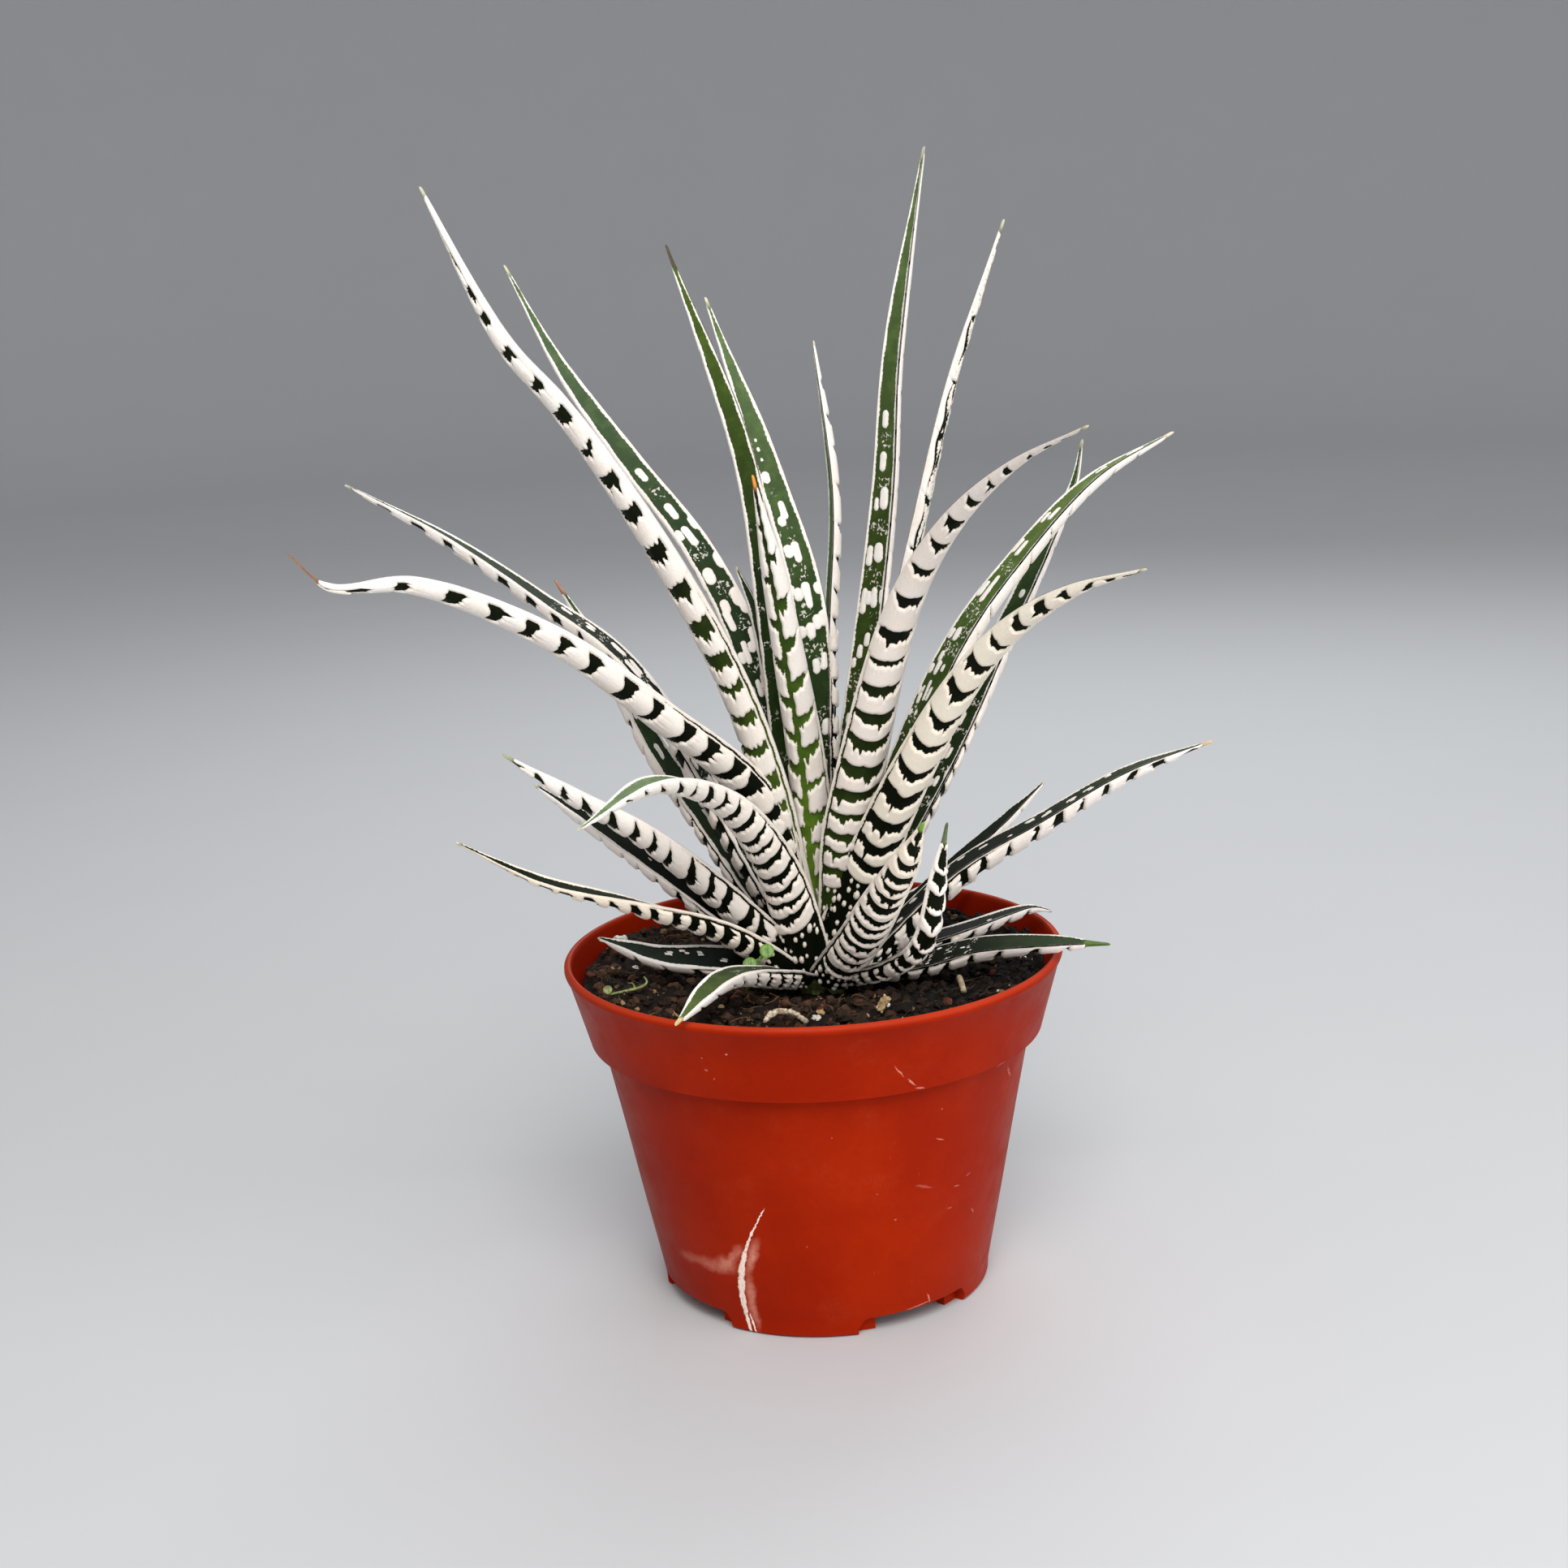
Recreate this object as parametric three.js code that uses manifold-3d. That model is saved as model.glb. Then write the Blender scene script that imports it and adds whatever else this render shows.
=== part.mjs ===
// A zebra haworthia in a terracotta-coloured nursery pot, in millimetres, +Z up.
// The origin is on the pot's axis, on the surface that the pot stands on, and -Y is the front.
// The plant is a rosette: each leaf leaves the stem in its own direction and arches outwards, with a
// thick rounded underside that carries raised white bands across it.
import * as THREE from 'three';
import { mergeVertices } from 'three/addons/utils/BufferGeometryUtils.js';
import Module from 'manifold-3d';

const wasm = await Module();
wasm.setup();

// Pot
const potHeight = 73;
const rimRadius = 52.5;
const rimBandHeight = 17;
const rimBandFootRadius = 48; // the band tapers in to here, then steps in to the body
const bodyTopRadius = 45.4;
const bodyFootRadius = 35.3;
const footHeight = 4;
const footRadius = 34;
const footWidth = 3.4;
const wallThickness = 1.2;
const floorThickness = 1.4;
const floorLift = 3.8; // the floor stands this high between its middle and the feet
const baseDiscRadius = 11; // the flat middle of the floor, level with the feet
const footGapMiddle = -58; // degrees round the axis, from the right, of the first gap between two feet
const footGapSpan = 31;
const skirtGapSpan = 45; // the outer half of a foot's wall stops short of its inner half
const skirtInset = 1.5;
const footCount = 4;
const drainCount = 8;
const drainRadius = 3;
const drainCircle = 21;
const potSegments = 40;

// Heights at which the pot's inner wall bends, from its foot to its rim.
const bandFootHeight = potHeight - rimBandHeight;
const insideFootHeight = footHeight + 3;
const insideStepHeight = bandFootHeight - 0.6;
const insideBandHeight = bandFootHeight + 1.8;
const insideRimHeight = potHeight - 2;
const lipRoll = 0.45; // the lip stands this far proud of the band's wall

// Soil
const soilWallHeight = 69.3; // where the soil meets the pot's wall
const soilCraterDepth = 5; // how far it dips round the plant
const soilCraterReach = 28;
const soilHollowDepth = 3.5; // a washed-out hollow on the right
const soilHollowAt = [29, -5];
const soilHollowReach = 20;
const soilCrumbHeight = 0.5;
const soilSpokes = 32;
const soilRings = 9;
const fitGap = 0.3; // kept between any two pieces that touch
const dryRootPoints = [[-10, -40, 1], [-8.5, -38, 2.2], [-5.5, -37.8, 2.4], [-1.7, -41, 1]]; // x, y, lift
const dryRootRadius = 0.6;
const seedlingFoot = [-14, -13.5];
const seedlingFork = [-11.7, -15, 74.4];
const seedlingLeaves = [[-9.4, -15.5, 77.2], [-13, -15.7, 74.6]];
const seedlingLeafRadius = 1.5;
const seedlingLeafThinness = 0.32;
const seedlingLeafTilt = 1; // radians, towards the front
const seedlingStemRadius = 0.45;

// Rosette
const rosetteX = 2; // the plant stands a little right of the pot's axis
const stemFootHeight = 48;
const stemNeckHeight = 68;
const stemTopHeight = 84;
const stemFootRadius = 5;
const stemTopRadius = 2;
const bandPitch = 11; // the raised bands are broader here than on the real leaf, and half as many
const bandRise = 0.5;
const bladeTipWidth = 1.2;
const bladeTipThickness = 0.7;
const tipTaper = 0.7; // below 1 the sides bow outwards on the way to the tip
const thicknessPerWidth = 0.42;
const crownPerWidth = 0.05; // how far the upper face rises along its middle
const midribHeight = 0.42; // the route runs this far down through the blade's thickness
// Points round a blade's section, as shares of its half width, of its crown and of its depth.
const bladeSection = [
  [1, 0, 0.12],
  [0.45, 1, 0],
  [-0.45, 1, 0],
  [-1, 0, 0.12],
  [-0.8, 0, -0.55],
  [-0.32, 0, -0.93],
  [0.32, 0, -0.93],
  [0.8, 0, -0.55],
];
const leafGap = 0.6; // kept round each leaf where the next one is cut clear of it
const youngLeafCount = 3;
const footReach = 0.2; // the share of a leaf's length over which its foot widens
const twistStart = 0.3; // the share of a leaf's length at which it starts to twist

const colours = {
  pot: 0xa5300f,
  soil: 0x2b1d14,
  stem: 0x6f7d3a,
  leaf: 0x2f4a24,
  youngLeaf: 0x55823c,
  root: 0xb9a184,
  seedling: 0x6f9a3e,
};

// One row a leaf. azimuth is its direction round the rosette, with 0 to the right and 90 to the back,
// and route is its midrib as [distance out from the rosette's middle, height]. roll turns the blade
// about its midrib, in degrees, and twist turns it further on the way to the tip. foot is how much of
// its width it has where it leaves the stem. A higher shoulder keeps it broad for longer before it
// tapers, and a higher taper draws it in more strongly from there.
function leafRow(azimuth, width, route, options = {}) {
  const plain = { roll: 0, twist: 0, foot: 1, shoulder: 1.4, taper: tipTaper };
  return { azimuth, width, route, ...plain, ...options };
}

// The order runs from the middle of the rosette outwards, because an outer leaf gives way to an inner.
const leafRows = [
  // The young leaves in the middle.
  leafRow(252, 9, [[2, 80], [6, 114], [13, 135], [21, 156], [30, 176]], { foot: 0.6 }),
  leafRow(14, 5.5, [[3, 83], [5, 138], [7, 168], [4, 199]], { foot: 0.7 }),
  leafRow(142, 6, [[3, 82], [12, 140], [18, 153]], { roll: -60, foot: 0.5 }),
  // The tall leaves round them.
  leafRow(138, 9.3, [[3, 82], [0, 144], [8, 170], [24, 208]], { roll: -25, foot: 0.45 }),
  leafRow(163, 6.5, [[4, 80], [8, 142], [12, 176], [26, 219]], { roll: -60, foot: 0.5 }),
  leafRow(45, 8.5, [[4, 80], [17, 128], [25.5, 166], [29.5, 194], [41, 236]], { foot: 0.55 }),
  leafRow(335, 5.6, [[3, 80], [25.5, 162], [33.5, 190], [45, 221]], { foot: 0.55 }),
  leafRow(
    210,
    9.3,
    [[3, 78], [16.5, 126.5], [29.8, 154.5], [45.5, 180.3], [53.5, 191.5], [63, 203], [77, 232]],
    { roll: 10, foot: 0.6 },
  ),
  leafRow(306, 12.5, [[5, 76], [16, 110], [33, 149], [47.5, 166], [65.5, 178.2], [85, 186]], {
    foot: 0.6,
    shoulder: 1.8,
    taper: 1.35,
  }),
  leafRow(150, 9, [[5, 77], [14, 132], [25, 155], [41, 174], [57, 194], [70, 216]], {
    roll: -30,
    foot: 0.5,
    taper: 0.8,
  }),
  leafRow(204, 11, [[4, 75], [14, 107], [34, 127], [56, 145.5], [82, 158.5], [98, 160], [105, 167]], {
    roll: 22,
    foot: 0.6,
  }),
  leafRow(26, 11, [[6, 74], [34, 130], [51, 149], [70, 164.5], [91, 173.5]], { foot: 0.8 }),
  leafRow(316, 12, [[6, 73], [22, 104.5], [41, 132.5], [53.3, 144.8], [68.5, 153.8], [85, 159]], {
    roll: -20,
    taper: 0.9,
  }),
  leafRow(175, 9.5, [[6, 73], [38, 133.5], [55, 148], [74, 162], [94, 174]], {
    roll: -12,
    twist: 12,
    foot: 0.7,
  }),
  leafRow(38, 9.5, [[7, 72], [40, 110], [54, 129.5], [68.5, 149.5], [77, 162], [80, 172]], { foot: 0.7 }),
  leafRow(162, 9, [[7, 71], [24.5, 97.5], [35.5, 114], [45, 133], [55.5, 151]], { roll: -10, foot: 0.8 }),
  // The short outer leaves, down to those that droop over the rim.
  leafRow(236, 11.5, [[7, 71], [16, 93], [32, 111], [54, 120], [78, 117]], {
    shoulder: 1.5,
    taper: 0.85,
  }),
  leafRow(202, 11, [[7, 70], [27, 92], [39, 103], [53, 113], [66, 123]], { roll: 15 }),
  leafRow(290, 11, [[8, 68], [26, 82], [37, 92], [48, 102], [58, 113]], { shoulder: 2 }),
  leafRow(355, 10.5, [[9, 68], [30, 88], [47, 98], [64, 108], [82, 115]], { roll: 2 }),
  leafRow(189, 9.5, [[7, 68], [29, 88], [44, 101], [58, 113]], { roll: -25 }),
  leafRow(20, 7, [[9, 69], [33, 87], [43, 94], [53, 102]]),
  leafRow(211, 9.5, [[8, 68], [23, 80], [43, 89.6], [63, 98.4], [81, 110]], {
    roll: 10,
    twist: -50,
    taper: 1.35,
  }),
  leafRow(305, 7.5, [[9, 68], [25, 74], [36, 82], [41, 96], [44, 108]]),
  leafRow(196, 9, [[9, 68], [23, 72], [36, 75], [48, 81]], { roll: -25 }),
  leafRow(240, 9, [[9, 68], [20, 72], [39, 77], [58, 74]], { foot: 0.7 }),
  leafRow(340, 9, [[9, 68], [22, 70], [35, 74], [49, 76], [62, 77]], { roll: 12 }),
  leafRow(8, 8, [[10, 68], [31, 73], [41, 76], [46, 77], [50, 76]]),
  // The back, which the front view hides, filled in at the same spacing.
  leafRow(88, 10, [[5, 76], [15, 92], [30, 104], [50, 108]], { foot: 0.8 }),
  leafRow(116, 10.5, [[7, 71], [23, 85], [42, 94], [62, 95]]),
  leafRow(64, 10.5, [[7, 71], [24, 83], [43, 90], [62, 89]]),
  leafRow(137, 9.5, [[9, 69], [25, 77], [41, 82], [57, 84]]),
  leafRow(98, 9, [[9, 68], [24, 75], [40, 79], [56, 77]]),
  leafRow(44, 8.5, [[9, 68], [24, 74], [38, 77], [49, 76]]),
];

// Smooth step from 0 to 1 between two edges.
function smooth(edge0, edge1, value) {
  const t = THREE.MathUtils.clamp((value - edge0) / (edge1 - edge0), 0, 1);
  return t * t * (3 - 2 * t);
}

// A closed geometry as a solid that can be cut.
function solidFrom(geometry) {
  const bare = geometry.clone();
  bare.deleteAttribute('normal');
  bare.deleteAttribute('uv');
  const merged = mergeVertices(bare, 1e-4);
  return new wasm.Manifold(
    new wasm.Mesh({
      numProp: 3,
      vertProperties: merged.attributes.position.array,
      triVerts: new Uint32Array(merged.index.array),
    }),
  );
}

// The largest body of a solid, so that a scrap left by a cut is dropped.
function largestBody(solid) {
  const bodies = solid.decompose();
  bodies.sort((a, b) => b.volume() - a.volume());
  return bodies[0];
}

function geometryFrom(solid) {
  const mesh = solid.getMesh();
  const geometry = new THREE.BufferGeometry();
  geometry.setAttribute('position', new THREE.BufferAttribute(mesh.vertProperties, mesh.numProp));
  geometry.setIndex(new THREE.BufferAttribute(mesh.triVerts, 1));
  geometry.computeVertexNormals();
  return geometry;
}

function piece(name, solid, colour, roughness) {
  const material = new THREE.MeshStandardMaterial({ color: colour, roughness, metalness: 0 });
  const mesh = new THREE.Mesh(geometryFrom(solid), material);
  mesh.name = name;
  return mesh;
}

// A lathed profile of [radius, height] points, turned to stand on Z.
function lathed(profile, segments) {
  const points = profile.map(([radius, height]) => new THREE.Vector2(radius, height));
  const geometry = new THREE.LatheGeometry(points, segments);
  geometry.rotateX(Math.PI / 2);
  return solidFrom(geometry);
}

// Closed skin over rings of points that run in the same order round each ring.
function lofted(rings) {
  const count = rings[0].length;
  const positions = rings.flat().flatMap((p) => [p.x, p.y, p.z]);
  const index = [];
  for (let i = 0; i < rings.length - 1; i++) {
    for (let j = 0; j < count; j++) {
      const a = i * count + j;
      const b = i * count + ((j + 1) % count);
      index.push(a, b, b + count);
      index.push(a, b + count, a + count);
    }
  }
  const last = (rings.length - 1) * count;
  for (let j = 1; j < count - 1; j++) {
    index.push(0, j + 1, j);
    index.push(last, last + j, last + j + 1);
  }
  const geometry = new THREE.BufferGeometry();
  geometry.setAttribute('position', new THREE.Float32BufferAttribute(positions, 3));
  geometry.setIndex(index);
  return solidFrom(geometry);
}

// How full the blade is, from 1 at its foot to 0 at its tip.
function bladeFullness(along, { shoulder, taper }) {
  return Math.pow(Math.max(1 - Math.pow(along, shoulder), 0), taper);
}

// One leaf. With grow it is fattened all round and left without bands, for the room that it takes up.
function leafSolid(row, grow) {
  const direction = THREE.MathUtils.degToRad(row.azimuth);
  const outwards = new THREE.Vector3(Math.cos(direction), Math.sin(direction), 0);
  const sideways = new THREE.Vector3(-outwards.y, outwards.x, 0);
  const middle = new THREE.Vector3(rosetteX, 0, 0);
  const points = row.route.map(([out, up]) => middle.clone().addScaledVector(outwards, out).setZ(up));
  const midrib = new THREE.CatmullRomCurve3(points, false, 'centripetal');
  const pitches = Math.round(midrib.getLength() / bandPitch);
  const stations = grow > 0 ? pitches : 2 * pitches + 1;
  const thickness = thicknessPerWidth * row.width;
  const crown = crownPerWidth * row.width;
  const rings = [];
  for (let i = 0; i <= stations; i++) {
    const along = i / stations;
    const centre = midrib.getPointAt(along);
    const forward = midrib.getTangentAt(along);
    const upper = new THREE.Vector3().crossVectors(forward, sideways);
    const turn = THREE.MathUtils.degToRad(row.roll + row.twist * smooth(twistStart, 1, along));
    const side = sideways.clone().applyAxisAngle(forward, turn);
    upper.applyAxisAngle(forward, turn);
    const full = bladeFullness(along, row);
    const foot = row.foot + (1 - row.foot) * smooth(0, footReach, along);
    const halfWidth = (foot * (bladeTipWidth + (row.width - bladeTipWidth) * full)) / 2 + grow;
    const depth = bladeTipThickness + (thickness - bladeTipThickness) * full * foot;
    const banded = grow > 0 || i % 2 === 1;
    const raised = banded ? bandRise * Math.min(1, 3 * full) : 0;
    const under = depth + raised + grow;
    const over = crown * full + grow;
    const ring = bladeSection.map(([across, crownShare, depthShare]) => {
      const lift = crownShare * over + depthShare * under + midribHeight * depth;
      return centre.clone().addScaledVector(side, across * halfWidth).addScaledVector(upper, lift);
    });
    rings.push(ring);
  }
  return lofted(rings);
}

function potProfile() {
  const inside = wallThickness;
  return [
    [0, 0],
    [baseDiscRadius, 0],
    [baseDiscRadius + 1.5, floorLift],
    [footRadius - footWidth - 1, floorLift],
    [footRadius - footWidth, 0],
    [footRadius, 0],
    [bodyFootRadius - 0.25, footHeight - 0.9],
    [bodyFootRadius, footHeight],
    [bodyTopRadius, bandFootHeight],
    [rimBandFootRadius - 0.4, bandFootHeight],
    [rimBandFootRadius, bandFootHeight + 0.6],
    [rimRadius - lipRoll, insideRimHeight],
    [rimRadius, potHeight - 1.2],
    [rimRadius - 0.3, potHeight - 0.3],
    [rimRadius - 0.9, potHeight],
    [rimRadius - 1.5, potHeight - 0.4],
    [rimRadius - lipRoll - inside, insideRimHeight],
    [rimBandFootRadius - inside, insideBandHeight],
    [bodyTopRadius - inside, insideStepHeight],
    [bodyFootRadius - inside, insideFootHeight],
    [bodyFootRadius - inside - 2, floorLift + floorThickness],
    [0, floorLift + floorThickness],
  ];
}

// A wedge outside a radius, which cuts a gap between two feet.
function footGap(middleDegrees, spanDegrees, innerRadius) {
  const start = THREE.MathUtils.degToRad(middleDegrees - spanDegrees / 2);
  const end = THREE.MathUtils.degToRad(middleDegrees + spanDegrees / 2);
  const shape = new THREE.Shape();
  shape.absarc(0, 0, bodyFootRadius + 3, start, end, false);
  shape.absarc(0, 0, innerRadius, end, start, true);
  const depth = 1 + floorLift;
  const geometry = new THREE.ExtrudeGeometry(shape, { depth, bevelEnabled: false, curveSegments: 6 });
  geometry.translate(0, 0, -1);
  return solidFrom(geometry);
}

function drainHole(turn) {
  const geometry = new THREE.CylinderGeometry(drainRadius, drainRadius, 2 * floorLift, 12);
  geometry.rotateX(Math.PI / 2);
  geometry.translate(drainCircle * Math.cos(turn), drainCircle * Math.sin(turn), floorLift);
  return solidFrom(geometry);
}

function makePot() {
  let pot = lathed(potProfile(), potSegments);
  for (let i = 0; i < footCount; i++) {
    const middle = footGapMiddle + (i * 360) / footCount;
    pot = pot.subtract(footGap(middle, footGapSpan, footRadius - footWidth - 0.6));
    pot = pot.subtract(footGap(middle, skirtGapSpan, footRadius - skirtInset));
  }
  for (let i = 0; i < drainCount; i++) {
    pot = pot.subtract(drainHole(((i + 0.5) / drainCount) * 2 * Math.PI));
  }
  return piece('pot', pot, colours.pot, 0.42);
}

// The pot's inner radius at a height, less the wall and the gap kept to the soil.
function soilRadiusAt(height) {
  const inset = wallThickness + 2 * fitGap;
  const { mapLinear } = THREE.MathUtils;
  if (height <= insideStepHeight) {
    return mapLinear(height, insideFootHeight, insideStepHeight, bodyFootRadius, bodyTopRadius) - inset;
  }
  return mapLinear(height, insideBandHeight, insideRimHeight, rimBandFootRadius, rimRadius - lipRoll) - inset;
}

// The soil's surface: a shallow crater round the plant, a hollow on the right, and lumps.
function soilHeight(x, y) {
  const out = Math.hypot(x - rosetteX, y);
  const crater = soilCraterDepth * (1 - smooth(10, soilCraterReach, out));
  const hollowOut = Math.hypot(x - soilHollowAt[0], y - soilHollowAt[1]);
  const hollow = soilHollowDepth * (1 - smooth(0, soilHollowReach, hollowOut));
  const lumps = Math.sin(0.41 * x + 1.3) * Math.cos(0.37 * y + 0.4) + 0.6 * Math.sin(0.93 * x - 0.71 * y);
  return soilWallHeight - crater - hollow + soilCrumbHeight * lumps;
}

function makeSoil() {
  const rings = [];
  const ringAt = (radius, heightOf) => {
    const ring = [];
    for (let j = 0; j < soilSpokes; j++) {
      const turn = (j / soilSpokes) * 2 * Math.PI;
      const x = radius * Math.cos(turn);
      const y = radius * Math.sin(turn);
      ring.push(new THREE.Vector3(x, y, heightOf(x, y)));
    }
    return ring;
  };
  const floor = floorLift + floorThickness + fitGap;
  rings.push(ringAt(soilRadiusAt(insideFootHeight) - 3, () => floor));
  for (const height of [insideFootHeight + fitGap, insideStepHeight - fitGap, insideBandHeight + fitGap]) {
    rings.push(ringAt(soilRadiusAt(height), () => height));
  }
  const top = soilRadiusAt(soilWallHeight - 3 * soilCrumbHeight);
  for (let i = 0; i <= soilRings; i++) {
    rings.push(ringAt(top * (1 - i / (soilRings + 0.35)), soilHeight)); // 0.35 keeps the last one open
  }
  const holeFoot = stemFootHeight - 1;
  const holeRadius = stemFootRadius + 1;
  const hole = [[0, holeFoot], [holeRadius, holeFoot], [holeRadius, potHeight], [0, potHeight]];
  const stemHole = lathed(hole, 16).translate([rosetteX, 0, 0]);
  return piece('soil', lofted(rings).subtract(stemHole), colours.soil, 0.95);
}

// With grow it is fattened all round, as a leaf is.
function stemSolid(grow) {
  const profile = [
    [0, stemFootHeight - grow],
    [stemFootRadius - 1 + grow, stemFootHeight - grow],
    [stemFootRadius + grow, stemFootHeight + 8],
    [stemFootRadius + grow, stemNeckHeight],
    [stemTopRadius + grow, stemTopHeight],
    [0, stemTopHeight + grow],
  ];
  return lathed(profile, 12).translate([rosetteX, 0, 0]);
}

// The leaves from the middle outwards: each is cut clear of the stem and of the leaves inside it.
function makeLeaves() {
  let taken = stemSolid(fitGap);
  return leafRows.map((row, i) => {
    const leaf = largestBody(leafSolid(row, 0).subtract(taken));
    taken = taken.add(leafSolid(row, leafGap));
    const name = 'leaf_' + String(i + 1).padStart(2, '0');
    return piece(name, leaf, i < youngLeafCount ? colours.youngLeaf : colours.leaf, 0.5);
  });
}

// A round tube along a smooth curve through the points.
function tube(points, radius, sides, steps) {
  const path = new THREE.CatmullRomCurve3(points.map((p) => new THREE.Vector3(...p)));
  const section = new THREE.Shape();
  section.absarc(0, 0, radius, 0, 2 * Math.PI, false);
  return solidFrom(new THREE.ExtrudeGeometry(section, { steps, curveSegments: sides, extrudePath: path }));
}

// A dead root that arches out of the soil in front.
function makeDryRoot() {
  const points = dryRootPoints.map(([x, y, lift]) => [x, y, soilHeight(x, y) + lift]);
  return piece('dry_root', tube(points, dryRootRadius, 3, 8), colours.root, 0.8);
}

// A weed seedling with its first two round leaves.
function makeSeedling() {
  const [footX, footY] = seedlingFoot;
  const ground = soilHeight(footX, footY) + fitGap + seedlingStemRadius;
  let seedling = tube([[footX, footY, ground], seedlingFork, seedlingLeaves[0]], seedlingStemRadius, 3, 5);
  seedling = seedling.add(tube([seedlingFork, seedlingLeaves[1]], seedlingStemRadius - 0.05, 3, 3));
  for (const centre of seedlingLeaves) {
    const leaf = new THREE.SphereGeometry(seedlingLeafRadius, 8, 4);
    leaf.rotateX(Math.PI / 2);
    leaf.scale(1, 1, seedlingLeafThinness);
    leaf.rotateX(seedlingLeafTilt);
    leaf.translate(...centre);
    seedling = seedling.add(solidFrom(leaf));
  }
  return piece('seedling', seedling, colours.seedling, 0.5);
}

const plant = new THREE.Group();
plant.add(piece('stem', stemSolid(0), colours.stem, 0.6));
makeLeaves().forEach((leaf) => plant.add(leaf));

const object = new THREE.Group();
object.add(makePot());
object.add(makeSoil());
object.add(makeDryRoot());
object.add(makeSeedling());
object.add(plant);

export default object;
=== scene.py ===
# Zebra haworthia in a terracotta-coloured nursery pot. Lengths in the settings are millimetres.
import math

import bpy
import numpy as np
from mathutils import Matrix, Vector, noise


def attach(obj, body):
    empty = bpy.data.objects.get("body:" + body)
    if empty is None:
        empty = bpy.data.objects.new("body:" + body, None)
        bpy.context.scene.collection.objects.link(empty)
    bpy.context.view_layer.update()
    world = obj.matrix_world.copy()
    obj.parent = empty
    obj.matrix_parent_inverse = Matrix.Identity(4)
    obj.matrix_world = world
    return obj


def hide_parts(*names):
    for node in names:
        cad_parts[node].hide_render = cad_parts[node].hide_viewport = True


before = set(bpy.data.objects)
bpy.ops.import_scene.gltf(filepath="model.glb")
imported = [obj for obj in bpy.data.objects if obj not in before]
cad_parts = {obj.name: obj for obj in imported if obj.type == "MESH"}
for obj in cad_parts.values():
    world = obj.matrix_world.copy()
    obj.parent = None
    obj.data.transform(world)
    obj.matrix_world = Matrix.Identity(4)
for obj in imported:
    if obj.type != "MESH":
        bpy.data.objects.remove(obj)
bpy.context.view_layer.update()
mm = 0.001
finest = 1e-7   # metres between points that count as one


def linearColour(red, green, blue):
    # a colour as it is seen on a screen, 0 to 255, as the shader wants it
    def one(value):
        value = value / 255
        return value / 12.92 if value <= 0.04045 else ((value + 0.055) / 1.055) ** 2.4
    return (one(red), one(green), one(blue), 1.0)


def smooth(low, high, value):
    t = np.clip((value - low) / (high - low), 0, 1)
    return t * t * (3 - 2 * t)


def onlyActive(piece):
    if bpy.context.object and bpy.context.object.mode != "OBJECT":
        bpy.ops.object.mode_set(mode="OBJECT")
    bpy.ops.object.select_all(action="DESELECT")
    piece.select_set(True)
    bpy.context.view_layer.objects.active = piece


def nameIt(piece, name):
    piece.name = name
    piece.data.name = name
    return piece


def readVertices(piece):
    flat = np.empty(len(piece.data.vertices) * 3)
    piece.data.vertices.foreach_get("co", flat)
    return flat.reshape(-1, 3)


def writeVertices(piece, places):
    piece.data.vertices.foreach_set("co", np.ascontiguousarray(places, dtype=np.float64).ravel())
    piece.data.update()


def putLayer(piece, name, values):
    # a number, a place or a colour for every vertex
    kinds = {"ground": ("FLOAT_COLOR", "color"), "cream": ("FLOAT_COLOR", "color"),
             "skinPlace": ("FLOAT_VECTOR", "vector")}
    kind, key = kinds.get(name, ("FLOAT", "value"))
    if key == "color":
        values = np.concatenate([values, np.ones((len(values), 1))], axis=1)
    layer = piece.data.attributes.new(name, kind, "POINT")
    layer.data.foreach_set(key, np.ascontiguousarray(values, dtype=np.float32).ravel())


def editAll():
    bpy.ops.object.mode_set(mode="EDIT")
    bpy.ops.mesh.select_all(action="SELECT")


def drawOut(profile):
    # the selected ring is drawn out and resized, as many times as the profile has further points
    for (r0, z0), (r1, z1) in zip(profile, profile[1:]):
        bpy.ops.mesh.extrude_edges_move(TRANSFORM_OT_translate={"value": (0, 0, (z1 - z0) * mm)})
        bpy.ops.transform.resize(value=(r1 / r0, r1 / r0, 1), center_override=(0, 0, z1 * mm))


def mergeAndTurnOut(piece, distance=finest):
    onlyActive(piece)
    editAll()
    bpy.ops.mesh.remove_doubles(threshold=distance)
    bpy.ops.mesh.dissolve_degenerate(threshold=finest)
    bpy.ops.mesh.normals_make_consistent(inside=False)
    bpy.ops.object.mode_set(mode="OBJECT")


def finishPiece(piece, material, slot, *nodes):
    piece.data.materials.clear()
    piece.data.materials.append(material)
    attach(piece, "root")
    if nodes:
        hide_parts(*nodes)


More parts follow.
